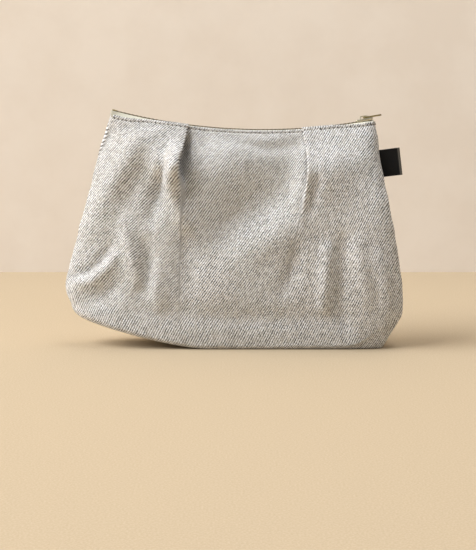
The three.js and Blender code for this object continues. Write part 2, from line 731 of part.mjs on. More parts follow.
function toothRow(side) {
  const cordStart = ZIP_START + CORD_START_INSET;
  const cordEnd = SLIDER_NOSE - CORD_END_INSET;
  const firstTooth = ZIP_START + STOP_LENGTH + SEW_GAP + TOOTH_HALF_WIDTH;
  const offset = side > 0 ? TOOTH_PITCH / 2 : 0;
  const teeth = [];
  for (let at = firstTooth + offset; at < TEETH_END; at += TOOTH_PITCH) {
    teeth.push(tooth(at, side));
  }
  return geometryOf(joined([cord(cordStart, cordEnd, side), ...teeth]));
}

// The bottom stop: one clip whose web stands between the cords and whose plates cover them
function bottomStop() {
  const web = CORD_OFFSET - CORD_RADIUS - SEW_GAP;
  const reach = CORD_OFFSET + CORD_RADIUS + SEW_GAP;
  const under = CORD_RADIUS + SEW_GAP;
  const top = under + STOP_WALL;
  const corner = top - STOP_CHAMFER;
  const right = [[web, under], [reach, under], [reach, corner], [reach - STOP_CHAMFER, top]];
  const outline = [
    ...right,
    ...right.map(([y, w]) => [-y, w]).reverse(),
    ...right.map(([y, w]) => [-y, -w]),
    ...right.map(([y, w]) => [y, -w]).reverse(),
  ];
  const ends = [ZIP_START, ZIP_START + STOP_LENGTH];
  return loft(ends.map((at) => outline.map(([y, w]) => chainPoint(at, y, w))), outline);
}

// A top stop: a C-shaped clip round one cord, open towards the tape
function topStop(side) {
  const end = SLIDER_NOSE - TOP_STOP_SETBACK;
  const gap = CORD_RADIUS + TOP_STOP_GAP;
  const wall = gap + TOP_STOP_WALL;
  const corner = wall - STOP_CHAMFER;
  const mouth = CORD_RADIUS + TOP_STOP_LIP;
  const outline = [
    [mouth, gap],
    [mouth, wall],
    [-corner, wall],
    [-wall, corner],
    [-wall, -corner],
    [-corner, -wall],
    [mouth, -wall],
    [mouth, -gap],
    [-gap, -gap],
    [-gap, gap],
  ];
  const rings = [end - TOP_STOP_LENGTH, end].map((at) => {
    const centre = CORD_OFFSET + rowSpread(at);
    return outline.map(([y, w]) => chainPoint(at, side * (centre + y), w));
  });
  return loft(rings, outline);
}

// Slider, in its own frame: X towards the nose, Z up from the chain, origin at its middle
const NOSE = SLIDER_LENGTH / 2;
const FLARE_START = NOSE - FLARE_FROM_NOSE;
const FLARE_END = NOSE - FLARE_TO_NOSE;

function withMirror(half) {
  return [...half, ...half.map(([x, y]) => [x, -y]).reverse()];
}

// The slider's plan, narrow at the tail and wide at the nose
function sliderPlan() {
  const tail = TAIL_INNER + WALL_THICK;
  const nose = NOSE_INNER + WALL_THICK;
  return withMirror([
    [-NOSE, tail - TAIL_CHAMFER[1]],
    [-NOSE + TAIL_CHAMFER[0], tail],
    [FLARE_START, tail],
    [FLARE_END, nose],
    [NOSE - NOSE_CHAMFER[0], nose],
    [NOSE, nose - NOSE_CHAMFER[1]],
  ]);
}

// The room between the rims, which runs out at the tail and the nose
function channelPlan() {
  return withMirror([
    [-NOSE - CUT_MARGIN, TAIL_INNER],
    [FLARE_START, TAIL_INNER],
    [FLARE_END, NOSE_INNER],
    [NOSE + CUT_MARGIN, NOSE_INNER],
  ]);
}

function wedgePlan() {
  const front = NOSE - WEDGE_SETBACK;
  return withMirror([
    [front - WEDGE_LENGTH, WEDGE_POINT],
    ...WEDGE_SHOULDERS.map((back) => [NOSE - back, WEDGE_HALF_WIDTH]),
    [front, WEDGE_HALF_WIDTH / 2],
  ]);
}

// The bail is an arch along the slider, with room under it for the bar of the pull tab
function bailArch() {
  const foot = SLIDER_HALF_HEIGHT - BAIL_SINK;
  const under = PULL_AXIS_HEIGHT + PULL_BAR_RADIUS + BAR_GAP;
  const top = under + BAIL_THICK;
  const outer = BAIL_LENGTH / 2;
  const inner = outer - BAIL_THICK;
  const half = [
    [outer, foot],
    [outer, under - BAIL_CORNER],
    [outer - BAIL_SHOULDER, top],
  ];
  const hole = [
    [-inner, foot],
    [-inner, under - BAIL_CORNER],
    [-inner + BAIL_CORNER, under],
    [inner - BAIL_CORNER, under],
    [inner, under - BAIL_CORNER],
    [inner, foot],
  ];
  return [...half, ...half.map(([x, z]) => [-x, z]).reverse(), ...hole];
}

function slider() {
  const top = CHANNEL_HALF_HEIGHT;
  const overlap = PLATE_THICK / 4;
  const sides = [1, -1].map((side) => {
    const heights = [SLOT_HALF_HEIGHT, SLIDER_HALF_HEIGHT].map((height) => side * height);
    const shoe = solidOf(prism(sliderPlan(), Math.min(...heights), Math.max(...heights)));
    const room = [0, side * top];
    return shoe.subtract(solidOf(prism(channelPlan(), Math.min(...room), Math.max(...room))));
  });
  const wedge = solidOf(prism(wedgePlan(), -top - overlap, top + overlap));
  const bail = solidOf(crossPrism(bailArch(), BAIL_WIDTH / 2));
  return geometryOf(sides[0].add(sides[1]).add(wedge).add(bail));
}

// Pull tab, in its own frame: X along the tab, with its bar on the Y axis
function cylinderAcross(radius, from, to) {
  const cylinder = new THREE.CylinderGeometry(radius, radius, to - from, 12);
  return cylinder.translate(0, (from + to) / 2, 0);
}

function pullTab() {
  const half = PULL_THICK / 2;
  const armInner = BAIL_WIDTH / 2 + SEW_GAP;
  const armOuter = PULL_WIDTH / 2;
  const tip = PULL_TIP_WIDTH / 2;
  const edge = [
    [0, armInner],
    [0, armOuter],
    [PULL_WINDOW, armOuter],
    PULL_WAIST,
    [PULL_LENGTH - PULL_TIP_RUN, tip],
    ...PULL_TIP_CORNERS.map(([back, inward]) => [PULL_LENGTH - back, tip - inward]),
  ];
  const window = [[PULL_WINDOW, -armInner], [PULL_WINDOW, armInner]];
  const outline = [...edge, ...edge.map(([x, y]) => [x, -y]).reverse(), ...window];
  return geometryOf(joined([
    prism(outline, -half, half),
    cylinderAcross(PULL_BAR_RADIUS, -armInner - half, armInner + half),
    cylinderAcross(half, armInner, armOuter),
    cylinderAcross(half, -armOuter, -armInner),
  ]));
}

// Side tag, in its own frame: X out from the seam, Z up along it. The fold is left puffy.
function sideTag() {
  const bend = TAG_REACH - TAG_LOOP_RADIUS;
  const root = TAG_TAPE + TAG_LAYER_GAP;
  const shape = new THREE.Shape();
  shape.moveTo(-TAG_ROOT, -root);
  shape.lineTo(TAG_PUFF_START, -root);
  shape.lineTo(bend, -TAG_LOOP_RADIUS);
  shape.absarc(bend, 0, TAG_LOOP_RADIUS, -HALF_PI, HALF_PI, false);
  shape.lineTo(TAG_PUFF_START, root);
  shape.lineTo(-TAG_ROOT, root);
  const room = TAG_LOOP_RADIUS - TAG_TAPE;
  const hole = new THREE.Path();
  hole.moveTo(TAG_PUFF_START, -TAG_LAYER_GAP);
  hole.lineTo(TAG_PUFF_START, TAG_LAYER_GAP);
  hole.lineTo(bend, room);
  hole.absarc(bend, 0, room, HALF_PI, -HALF_PI, true);
  shape.holes.push(hole);
  const options = { depth: TAG_WIDTH, bevelEnabled: false, curveSegments: TAG_CURVE_SEGMENTS };
  return new THREE.ExtrudeGeometry(shape, options).translate(0, 0, -TAG_WIDTH / 2);
}

// Assembly

const pouch = new THREE.Group();
pouch.add(
  namedMesh("front_panel", panel(FRONT_FOLDS), "twill"),
  namedMesh("back_panel", mirroredAcross(panel(BACK_FOLDS)), "twill"),
  namedMesh("front_lining", lining(FRONT_FOLDS), "lining"),
  namedMesh("back_lining", mirroredAcross(lining(BACK_FOLDS)), "lining"),
  namedMesh("zip_tape_front", zipTape(-1), "tape"),
  namedMesh("zip_tape_back", zipTape(1), "tape"),
  namedMesh("zip_teeth_front", toothRow(-1), "teeth"),
  namedMesh("zip_teeth_back", toothRow(1), "teeth"),
  namedMesh("zip_bottom_stop", bottomStop(), "brass"),
  namedMesh("zip_top_stop_front", topStop(-1), "brass"),
  namedMesh("zip_top_stop_back", topStop(1), "brass"),
  tagPlaced(namedMesh("side_tag", sideTag(), "dark")),
);

const runner = new THREE.Group();
runner.position.copy(chainPoint(SLIDER_MIDDLE, 0, 0));
runner.rotation.y = -SLIDER_MIDDLE / ZIP_RADIUS;
runner.add(namedMesh("zip_slider", slider(), "brass"));

const hangingPull = new THREE.Group();
hangingPull.position.z = PULL_AXIS_HEIGHT;
hangingPull.add(namedMesh("pull_tab", pullTab(), "brass"));
runner.add(hangingPull);
pouch.add(runner);

export default pouch;
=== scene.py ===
# The looks of a pleated zip pouch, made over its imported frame.
# Blender holds metres. The pouch's own sizes are written in millimetres, as its maker would.

import math

import bmesh
import bpy
import numpy as np
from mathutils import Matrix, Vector


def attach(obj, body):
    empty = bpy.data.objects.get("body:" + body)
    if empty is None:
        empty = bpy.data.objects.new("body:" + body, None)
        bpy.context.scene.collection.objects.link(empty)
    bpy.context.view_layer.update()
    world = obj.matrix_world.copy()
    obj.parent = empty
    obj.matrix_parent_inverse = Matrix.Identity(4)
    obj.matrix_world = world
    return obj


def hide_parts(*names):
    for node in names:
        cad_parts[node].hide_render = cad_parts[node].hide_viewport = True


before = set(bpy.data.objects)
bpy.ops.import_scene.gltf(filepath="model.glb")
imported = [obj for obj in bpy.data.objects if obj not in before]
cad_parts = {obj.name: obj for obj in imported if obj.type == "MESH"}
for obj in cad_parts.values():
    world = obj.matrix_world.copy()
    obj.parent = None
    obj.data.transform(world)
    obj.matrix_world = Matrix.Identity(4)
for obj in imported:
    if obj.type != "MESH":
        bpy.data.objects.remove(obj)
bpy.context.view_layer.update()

MM = 0.001

# Zip line: an arc that sags between the two side seams
ZIP_RADIUS = 438
ZIP_LOW_X = 22.1
ZIP_LOW_Z = 159.7
ZIP_START = -112.6
ZIP_END = 81.2
ZIP_CENTRE_Z = ZIP_LOW_Z + ZIP_RADIUS
TAPE_THICK = 0.5
TAPE_INNER = 2.9
TAPE_REACH = 6.6
LIP_FALL = 0.8
TAPE_END = 0.6
TAPE_STEPS = 240
TAPE_MIN_WIDTH = 0.6
TAPE_RUN_OUT = (0.96, 1.0)
TAPE_SHARES = 7
TAPE_LIP_UNDER = (0.96, -TAPE_THICK / 2 - 0.3)
TAPE_LIP_OVER = (1.08, -0.1)
TAPE_HEM_DRAW_IN = 0.3
ROW_SPREAD = 1.4
SLIDER_NOSE = ZIP_END - 0.3
SPREAD_START = SLIDER_NOSE - 9
SPREAD_END = SLIDER_NOSE - 3.5

# Cloth. A pair is where a change starts and ends: down the wall from 0 at the mouth to 1 at its
# foot, or along the panel from -1 at the left seam to 1 at the right. A seam is a line of [x, z]
# points. The lists of numbers go down the wall in even steps.
PANEL_THICK = 0.9
LINING_THICK = 0.4
LINING_START = 0.03
LINING_INSET = 1.75
LINING_COLUMNS = 90
LINING_SAG_START = (0.06, 0.25)
LINING_SAG_END = (1, 1.6)
LINING_CLEARANCE = 1.15
HEM_DOWN = 0.055
SEAM_GAP = 0.3
MOUTH_DROP = 0.4
CORNER_DROP = 3.0
RIGHT_CORNER_DROP = 1.5
CORNER_MARGIN = 0.8
CORNER_BLEND = (0.66, 0.92)
LEFT_SEAM = [[-100.3, 139], [-108.8, 103.4], [-119.8, 68], [-125.4, 44]]
RIGHT_SEAM = [[104, 139], [109.8, 103.4], [116.5, 70], [122, 42]]
LEFT_BASE_X = -121
RIGHT_BASE_X = 122
HALF_DEPTH = [7.6, 20, 26.5, 27.6, 26.6, 24.8]
SQUARENESS = [10, 8, 7, 6, 5, 5]
SLOPE_SHARE = [0.2, 0.72, 0.78, 0.66, 0.4, 0.1]
RIGHT_FLATNESS = 0.85
RIGHT_FLATTENING = (-0.2, 0.5)
RIGHT_EDGE = 1.6
RIGHT_SHARPENING = (0, 0.5)
RIGHT_PULL = 0.8
RIGHT_PULL_DOWN = (0.05, 0.4)

# Base: flat on the table, except that its left end curls up
CURL_HEIGHT = 20.5
CURL_START = -22
CURL_LENGTH = 90
CURL_POWER = 1.35
FRONT_FOLD = 3.5
LEFT_FOLD = 7
RIGHT_FOLD = 25
RIGHT_BEVEL = 0.85
RIGHT_DRAW_IN = 13
FOLD_GROWTH = (0.7, 1)
BASE_DRAW_IN = 0.03

# Knife pleats. Each has its x down the wall, the share of the wall where it is open, how much it
# puffs out, and how far its flap runs out to the side.
FOLD_GAP = 0.4
FOLD_RADIUS = (PANEL_THICK + FOLD_GAP) / 2
FOLD_ARC = math.pi * FOLD_RADIUS
PLEAT_OVERLAP = 9.5
PLEAT_SPAN = 0.56
PLEAT_HOLD = 0.08
PLEAT_MIN_RUN = 1.2
PLEAT_RUN_FADE = (0.05, 0.7 * PLEAT_SPAN)
PLEAT_PUFF_DOWN = 0.16
PLEAT_PUFF_REACH = 0.1
LEFT_PLEAT = ([-33.5, -38.6, -40, -42], 0.34, 0.7, 20)
RIGHT_PLEAT = ([50.8, 54, 49.5, 42], 0.46, 0.3, 46)

# Hem and topstitching along the mouth. A wave of the hem is its place below the mouth, its half
# width and its height: the doubled hem swells twice and is drawn in under the topstitching.
STITCH_DROP = 1.9
HEM_WAVES = [(0.5, 1.1, 0.35), (3.6, 1.0, 0.21), (STITCH_DROP, 0.45, -0.22)]
HEM_END = 0.2
THREAD_SINK = 0.05
STITCH_FACING = -0.3
STITCH_STEP = 0.25
STITCH_LENGTH = 2.3
STITCH_PITCH = 3.1
THREAD_RADIUS = 0.18
THREAD_DEPTH = 0.36
HOLE_LENGTH = 1.05
HOLE_RADIUS = 0.75
HOLE_DEPTH = 0.3

# Side tag
TAG_HEIGHT = 135.3
TAG_WIDTH = 20
TAG_REACH = 18.2
TAG_TAPE = 0.6
TAG_LAYER_GAP = 0.05
TAG_LOOP_RADIUS = 1.35
TAG_ROOT = 1.5
TAG_PUFF_START = 1.5
TAG_PUFF_SHARES = (0.6, 0.8, 0.9, 0.95)
TAG_PUFF_FROM = 0.4
TAG_LOOP_POINTS = 13
TAG_ROWS = 40
TAG_BOW = 0.25
TAG_BOW_TURN = 5
TAG_SEAM_OVERLAP = 0.02
TAG_APART = 0.03
# Painted highlight: where, back from the tag's outer end, a lighter strip is painted round its fold
TAG_PAINTED_HIGHLIGHT_START = (-2.2, -1.6)
TAG_PAINTED_HIGHLIGHT_END = (-0.5, -0.2)

# Weave of the outer cloth, in metres as its material holds it, and the ribs' angle
RIB_PITCH = 0.00153
RIB_SLANT = math.radians(56.5)
YARN_LENGTH = 0.0022

# How finely the cloth is meshed. The panels' rows are those at the mouth, down the wall, round
# the fold and under the base. The lining has none at the mouth.
MOUTH_SHARE = 0.03
PANEL_ROWS = (8, 118, 12, 14)
LINING_ROWS = (60, 8, 8)
FLAP_COLUMNS = 62
MIDDLE_COLUMNS = 84
ARC_STEPS = 8
RUN_STEPS = 8
ROLL_STEPS = 6
LENGTH_PLACES = 181

# Folds in the cloth. Each is a line of [x, z] points in millimetres on the wall, with its height
# (negative for a hollow) and its half width. The solid panels have the larger ones, less deep.
FOLD_LINE_END = 0.12
FOLD_END_POWER = 0.6
FOLD_START = (0.01, 0.1)
FOLD_FOOT = (1.0, 1.5)
FOLD_SEAM_FADE = (0, 0.35)
FRONT_FOLDS = [
    ([[-60, 162], [-69, 150], [-80, 132], [-91, 114], [-103, 90]], 6.5, 11),
    ([[-66, 132], [-75, 118], [-83, 106]], -2, 7),
    ([[-49, 145], [-52, 130], [-56, 116], [-60, 98]], -6, 6),
    ([[-45, 142], [-46, 124], [-42, 108], [-36, 92]], 5.5, 5.5),
    ([[38, 122], [18, 106], [-2, 93], [-20, 76]], -8.5, 17),
    ([[-22, 132], [-4, 140], [18, 145]], 4.5, 16),
    ([[44, 98], [30, 84], [14, 74]], 3, 13),
    ([[103, 146], [107, 112], [112, 80], [113, 40]], 5, 36),
    ([[-115, 47], [-103, 50], [-94, 58], [-86, 68]], 4.0, 5),
    ([[-64, 78], [-62, 66], [-64, 54], [-67, 42]], -4.4, 5),
    ([[-36, 84], [-34, 60], [-34, 36]], -3, 9),
    ([[46, 74], [43, 58], [36, 44]], -3, 6),
    ([[68, 74], [67, 52], [66, 32]], 4, 5),
    ([[80, 80], [78, 56], [77, 34], [82, 18]], -4, 6),
    ([[-49.5, 144], [-51, 134], [-53.5, 124], [-56, 110]], -3.2, 3),
    ([[-90, 166], [-93, 154], [-96, 146]], -3.0, 5),
    ([[-6, 152], [22, 147], [46, 149]], -2.4, 5),
    ([[-10, 158], [22, 154], [46, 156]], 1.5, 4),
    ([[51, 140], [50, 122], [47, 108]], 3.4, 6),
    ([[59, 124], [58, 112], [55, 100]], -2.4, 4),
    ([[61, 127], [62, 119]], -1.6, 2.4),
    ([[90, 78], [94, 56], [98, 38]], 3.0, 6),
    ([[104, 70], [109, 50], [113, 30]], 2.4, 5),
    ([[-118, 53], [-108, 56], [-99, 64], [-91, 74]], -3.4, 4),
    ([[-110, 34], [-98, 38], [-86, 48]], -3.0, 7),
    ([[-79, 92], [-77, 78], [-73, 62], [-69, 50]], 4.0, 5),
    ([[-56, 60], [-56, 44], [-55, 32]], 2.8, 5),
    ([[-70, 28], [-20, 24], [30, 23], [80, 24]], -2.2, 8),
]

# Folds of the left pleat of the front: on its flap alone, and in the cloth beside it alone. The
# last list is no fold but painted shade: how much darker the cloth is painted in the pocket beside
# the flap, where the flap shades it.
FLAP_FOLDS = [([[-37, 156], [-40, 146], [-41, 136], [-42, 126]], 3.2, 8)]
POCKET_FOLDS = [([[-34.5, 153], [-36, 146], [-38, 137], [-38.5, 128]], -6.5, 3.6)]
POCKET_PAINTED_SHADE = [([[-34, 160], [-35.5, 150], [-37.5, 140], [-38.5, 126]], 0.35, 3.2)]
GRAIN_TURN = 0.6

# The back hangs more evenly
BACK_FOLDS = [
    ([[-55, 152], [-74, 124], [-90, 96]], 4.5, 12),
    ([[-44, 140], [-50, 112], [-52, 88]], -3.5, 8),
    ([[48, 128], [40, 100], [28, 76]], 4.5, 12),
    ([[10, 126], [0, 98], [-6, 70]], -4.5, 15),
    ([[-36, 128], [-40, 100], [-38, 70]], 4, 7),
    ([[70, 120], [78, 92], [82, 62]], -3.5, 8),
    ([[90, 110], [98, 84], [104, 56]], 3.3, 8),
    ([[-112, 52], [-96, 58], [-82, 70]], 3.3, 5),
    ([[60, 60], [64, 42], [62, 24]], 2.9, 6),
]

# Uneven ground of the cloth: how many waves, the shortest, the longest, and their height
SOFT_GROUND = (9, 14, 46, 0.45)
FINE_GROUND = (8, 6, 15, 0.08)
FINE_GROUND_AT_MOUTH = 0.4
SEAM_PUCKERS = (6, 7, 19, 0.5)
SEAM_PUCKER_REACH = 0.03
LINING_SAGS = (7, 18, 50, 0.8)

NOISE_SEED = 7
BACK_SEED = 57
LINING_SEED_STEP = 20

# Camera: its place in metres, how many degrees it looks down, and its lens
CAMERA_PLACE = (0.0033, -1.0, 0.182)
CAMERA_TILT = 7.4
CAMERA_LENS = 88.2


# Numbers

def smoothstep(value, low, high):
    share = np.clip((value - low) / (high - low), 0, 1)
    return share * share * (3 - 2 * share)


def smooth_curve(values, share):
    """A smooth curve through evenly spaced values, read at shares from 0 to 1."""
    values = np.asarray(values, float)
    last = len(values) - 1
    place = np.clip(share, 0, 1) * last
    index = np.floor(place).astype(int)
    part = place - index
    before = values[np.maximum(index - 1, 0)]
    start = values[index]
    end = values[np.minimum(index + 1, last)]
    after = values[np.minimum(index + 2, last)]
    if values.ndim > 1:
        part = part[..., None]
    out = (end - before) / 2
    back = (after - start) / 2
    cubic = 2 * start - 2 * end + out + back
    square = -3 * start + 3 * end - 2 * out - back
    return cubic * part**3 + square * part**2 + out * part + start


def unit(vectors):
    length = np.linalg.norm(vectors, axis=-1, keepdims=True)
    return vectors / np.maximum(length, 1e-12)


# The pouch's even surface: near that of the solid model, with the right seam pulled forward.
# theta runs from -90 to 90 degrees between the side seams. down is 0 at the mouth and 1 at the
# foot of the wall, then 2 inside the lower fold and 3 at the middle seam of the base.

def chain_point(along, across, up):
    angle = np.asarray(along, float) / ZIP_RADIUS
    reach = ZIP_RADIUS - up
    x = ZIP_LOW_X + reach * np.sin(angle)
    z = ZIP_CENTRE_Z - reach * np.cos(angle)
    return np.stack(np.broadcast_arrays(x, across, z), axis=-1)


LEFT_TOP = float(chain_point(ZIP_START, 0, 0)[0]) - CORNER_MARGIN
RIGHT_TOP = float(chain_point(ZIP_END, 0, 0)[0]) + CORNER_MARGIN


def off_middle(x):
    """0 at the middle of the mouth, 1 at either end."""
    return np.abs(2 * (x - LEFT_TOP) / (RIGHT_TOP - LEFT_TOP) - 1)


def top_edge(x):
    corner = np.where(x < ZIP_LOW_X, CORNER_DROP, RIGHT_CORNER_DROP)
    drop = MOUTH_DROP + (corner - MOUTH_DROP) * smoothstep(off_middle(x), *CORNER_BLEND)
    return ZIP_CENTRE_Z - np.sqrt(ZIP_RADIUS**2 - (x - ZIP_LOW_X) ** 2) - drop


def curl(x):
    return CURL_HEIGHT * (np.maximum(0, CURL_START - x) / CURL_LENGTH) ** CURL_POWER


def fold_height(xi):
    end = np.where(xi < 0, LEFT_FOLD, RIGHT_FOLD)
    return FRONT_FOLD + (end - FRONT_FOLD) * smoothstep(np.abs(xi), *FOLD_GROWTH)


def seam_points(top_x, points, foot_x, side):
    foot = [foot_x, float(curl(foot_x) + PANEL_THICK / 2 + fold_height(np.array(side)))]
    return [[top_x, float(top_edge(top_x))], *points, foot]


LEFT_CURVE = seam_points(LEFT_TOP, LEFT_SEAM, LEFT_BASE_X, -1)
RIGHT_CURVE = seam_points(RIGHT_TOP, RIGHT_SEAM, RIGHT_BASE_X, 1)


def wall_point(theta, down, pull):
    xi = np.sin(theta)
    share = (xi + 1) / 2
    left = smooth_curve(LEFT_CURVE, down)
    right = smooth_curve(RIGHT_CURVE, down)
    left_fall = (LEFT_CURVE[0][1] - left[..., 1]) / (LEFT_CURVE[0][1] - LEFT_CURVE[-1][1])
    right_fall = (RIGHT_CURVE[0][1] - right[..., 1]) / (RIGHT_CURVE[0][1] - RIGHT_CURVE[-1][1])
    top = top_edge(LEFT_TOP + (RIGHT_TOP - LEFT_TOP) * share)
    foot_x = LEFT_BASE_X + (RIGHT_BASE_X - LEFT_BASE_X) * share
    foot = curl(foot_x) + PANEL_THICK / 2 + fold_height(xi)
    squareness = smooth_curve(SQUARENESS, down)
    flatness = RIGHT_FLATNESS * smoothstep(xi, *RIGHT_FLATTENING)
    slope_share = smooth_curve(SLOPE_SHARE, down) * (1 - flatness)
    squareness = squareness * (1 + RIGHT_EDGE * smoothstep(xi, *RIGHT_SHARPENING))
    round_part = np.sqrt(np.maximum(0, 1 - np.abs(xi) ** squareness))
    bulge = round_part + slope_share * (1 - xi**2 - round_part)
    x = left[..., 0] + (right[..., 0] - left[..., 0]) * share
    bulge += pull * RIGHT_PULL * smoothstep(down, *RIGHT_PULL_DOWN) * (1 - bulge) * (xi > 0)
    y = -SEAM_GAP / 2 - smooth_curve(HALF_DEPTH, down) * bulge
    fall = left_fall + (right_fall - left_fall) * share
    return np.stack([x, y, top + (foot - top) * fall], axis=-1)


def surface_point(theta, down, pull=0):
    """Points of one panel, laid out as the front one. pull is 1 for the front, -1 for the back,
    and 0 for a right seam that stays midway."""
    theta, down = np.broadcast_arrays(np.asarray(theta, float), np.asarray(down, float))
    wall = wall_point(theta, np.minimum(down, 1), pull)
    xi = np.sin(theta)
    middle = (LEFT_BASE_X + RIGHT_BASE_X) / 2
    half_length = (RIGHT_BASE_X - LEFT_BASE_X) / 2
    turn = np.clip(down - 1, 0, 1) * math.pi / 2
    inward = 1 - np.cos(turn)
    end_fold = np.where(xi < 0, LEFT_FOLD, RIGHT_DRAW_IN)
    inward_x = inward + (np.sin(turn) - inward) * np.where(xi < 0, 0, RIGHT_BEVEL)
    x = middle + (wall[..., 0] - middle) * (1 - end_fold * inward_x / half_length)
    seam_y = -SEAM_GAP / 2
    y = seam_y + (wall[..., 1] - seam_y) * (1 - FRONT_FOLD * inward / HALF_DEPTH[-1])
    across = np.clip(down - 2, 0, 1)
    x = middle + (x - middle) * (1 - BASE_DRAW_IN * across)
    y = y + (seam_y - y) * across
    z = curl(x) + PANEL_THICK / 2 + fold_height(xi) * (1 - np.sin(turn))
    below = np.stack([x, y, z], axis=-1)
    return np.where((down <= 1)[..., None], wall, below)


def surface_frame(theta, down, pull=0):
    """Points and outward normals."""
    step = 1e-3
    half_pi = math.pi / 2
    right = surface_point(np.minimum(theta + step, half_pi), down, pull)
    left = surface_point(np.maximum(theta - step, -half_pi), down, pull)
    lower = surface_point(theta, np.minimum(down + step, 3), pull)
    upper = surface_point(theta, np.maximum(down - step, 0), pull)
    point = surface_point(theta, down, pull)
    normal = -unit(np.cross(unit(right - left), unit(lower - upper)))
    slope = (curl(point[..., 0] + step) - curl(point[..., 0] - step)) / (2 * step)
    under = unit(np.stack([slope, 0 * slope, -1 + 0 * slope], axis=-1))
    normal = np.where((down >= 2)[..., None], under, normal)
    at_seam = (np.abs(np.abs(theta) - half_pi) < 1e-9) & (down < 2)
    along = (lower - upper) * np.sign(theta)[..., None]
    beyond = unit(np.stack([-along[..., 2], 0 * along[..., 1], along[..., 0]], axis=-1))
    return point, np.where(at_seam[..., None], beyond, unit(normal))


def theta_at(x, down):
    left = surface_point(-math.pi / 2, down)[..., 0]
    right = surface_point(math.pi / 2, down)[..., 0]
    return np.arcsin(np.clip(2 * (x - left) / (right - left) - 1, -1, 1))


# Cloth panels

def pleat_path(down, open_by, puff_share):
    """Across one pleat, row by row: lengths from the flap's side and how far it stands off."""
    opening = smoothstep(down, PLEAT_HOLD, open_by)
    angle = np.maximum(1e-3, math.pi * (1 - opening))
    radius = FOLD_ARC / angle
    run = PLEAT_OVERLAP + (PLEAT_MIN_RUN - PLEAT_OVERLAP) * smoothstep(down, *PLEAT_RUN_FADE)
    depth = 2 * radius * (1 - np.cos(angle)) + run * np.sin(angle)
    arc_x = radius * np.sin(angle)
    arc_fall = radius * (1 - np.cos(angle))
    path = []
    for k in range(ARC_STEPS + 1):
        turn = angle * k / ARC_STEPS
        path.append((radius * np.sin(turn), depth - radius * (1 - np.cos(turn))))
    for k in range(1, RUN_STEPS):
        reach = run * k / RUN_STEPS
        x = arc_x + reach * np.cos(angle)
        path.append((x, depth - arc_fall - reach * np.sin(angle)))
    for k in range(ARC_STEPS + 1):
        turn = angle * (1 - k / ARC_STEPS)
        x = 2 * arc_x + run * np.cos(angle) - radius * np.sin(turn)
        path.append((x, radius * (1 - np.cos(turn))))
    x, stand_off = (np.stack(part, axis=1) for part in zip(*path))
    puff = 1 + puff_share * np.exp(-(((down - PLEAT_PUFF_DOWN) / PLEAT_PUFF_REACH) ** 2))
    return x, stand_off * puff[:, None], depth * puff, run


def spread(start, end, count):
    """Row by row, count + 1 values from start to end."""
    share = np.linspace(0, 1, count + 1)
    return start[:, None] + (end - start)[:, None] * share


def side_columns(down, side, pleat):
    """One side's flap and its pleat, from the seam inward: theta and how far each stands off."""
    pleat_x, open_by, puff_share, run_out = pleat
    rows = down[:, None]
    across, path, depth, run = pleat_path(down, open_by, puff_share)
    start = smooth_curve(pleat_x, down / PLEAT_SPAN) + side * FOLD_RADIUS
    seam = np.full_like(down, side * math.pi / 2)
    flap = spread(seam, theta_at(start, down), FLAP_COLUMNS)
    distance = side * (surface_point(flap, rows)[..., 0] - start[:, None])
    held = (run + FOLD_RADIUS * 2)[:, None]
    off = depth[:, None] * (1 - smoothstep(distance, held, held + run_out))
    turned = theta_at(start[:, None] - side * across, rows)
    theta = np.concatenate([flap[:, :-1], turned], axis=1)
    return theta, np.concatenate([off[:, :-1], path], axis=1)


def panel_columns(down):
    """Every column of the panel, row by row: its theta and how far it stands off."""
    left, left_off = side_columns(down, -1, LEFT_PLEAT)
    right, right_off = side_columns(down, 1, RIGHT_PLEAT)
    middle = spread(left[:, -1], right[:, -1], MIDDLE_COLUMNS)[:, 1:-1]
    theta = np.concatenate([left, middle, right[:, ::-1]], axis=1)
    return theta, np.concatenate([left_off, 0 * middle, right_off[:, ::-1]], axis=1)


def line_distance(x, z, a, b):
    """Distance from each point to a segment, and the share of the way along it."""
    ax, az = a
    dx, dz = b[0] - ax, b[1] - az
    along = np.clip(((x - ax) * dx + (z - az) * dz) / (dx * dx + dz * dz), 0, 1)
    return np.hypot(x - ax - along * dx, z - az - along * dz), along


def fold_heights(x, z, folds):
    total = np.zeros_like(x)
    for points, height, half_width in folds:
        nearest = np.full_like(x, 1e9)
        place = np.zeros_like(x)
        pieces = len(points) - 1
        for k in range(pieces):
            distance, along = line_distance(x, z, points[k], points[k + 1])
            closer = distance < nearest
            place = np.where(closer, (k + along) / pieces, place)
            nearest = np.minimum(nearest, distance)
        along_line = FOLD_LINE_END + (1 - 2 * FOLD_LINE_END) * place
        fade = np.sin(math.pi * along_line) ** FOLD_END_POWER
        total += height * fade * np.exp(-((nearest / half_width) ** 2))
    return total


def ripples(x, z, seed, count, shortest, longest, height):
    """Soft uneven ground made of a few seeded waves."""
    chance = np.random.default_rng(seed)
    total = np.zeros_like(x)
    for _ in range(count):
        length = chance.uniform(shortest, longest)
        heading = chance.uniform(0, math.pi)
        phase = chance.uniform(0, 2 * math.pi)
        across = x * math.cos(heading) + z * math.sin(heading)
        total += np.sin(2 * math.pi * across / length + phase) * length
    return total * height / (count * (shortest + longest) / 2)


def grid_normals(points):
    rows = np.gradient(points, axis=0)
    columns = np.gradient(points, axis=1)
    return unit(np.cross(rows, columns))


def lengths_along(points, axis):
    """How far each point lies from the first one of its line."""
    steps = np.linalg.norm(np.diff(points, axis=axis), axis=-1)
    start = np.zeros_like(np.take(steps, [0], axis=axis))
    return np.concatenate([start, np.cumsum(steps, axis=axis)], axis=axis)


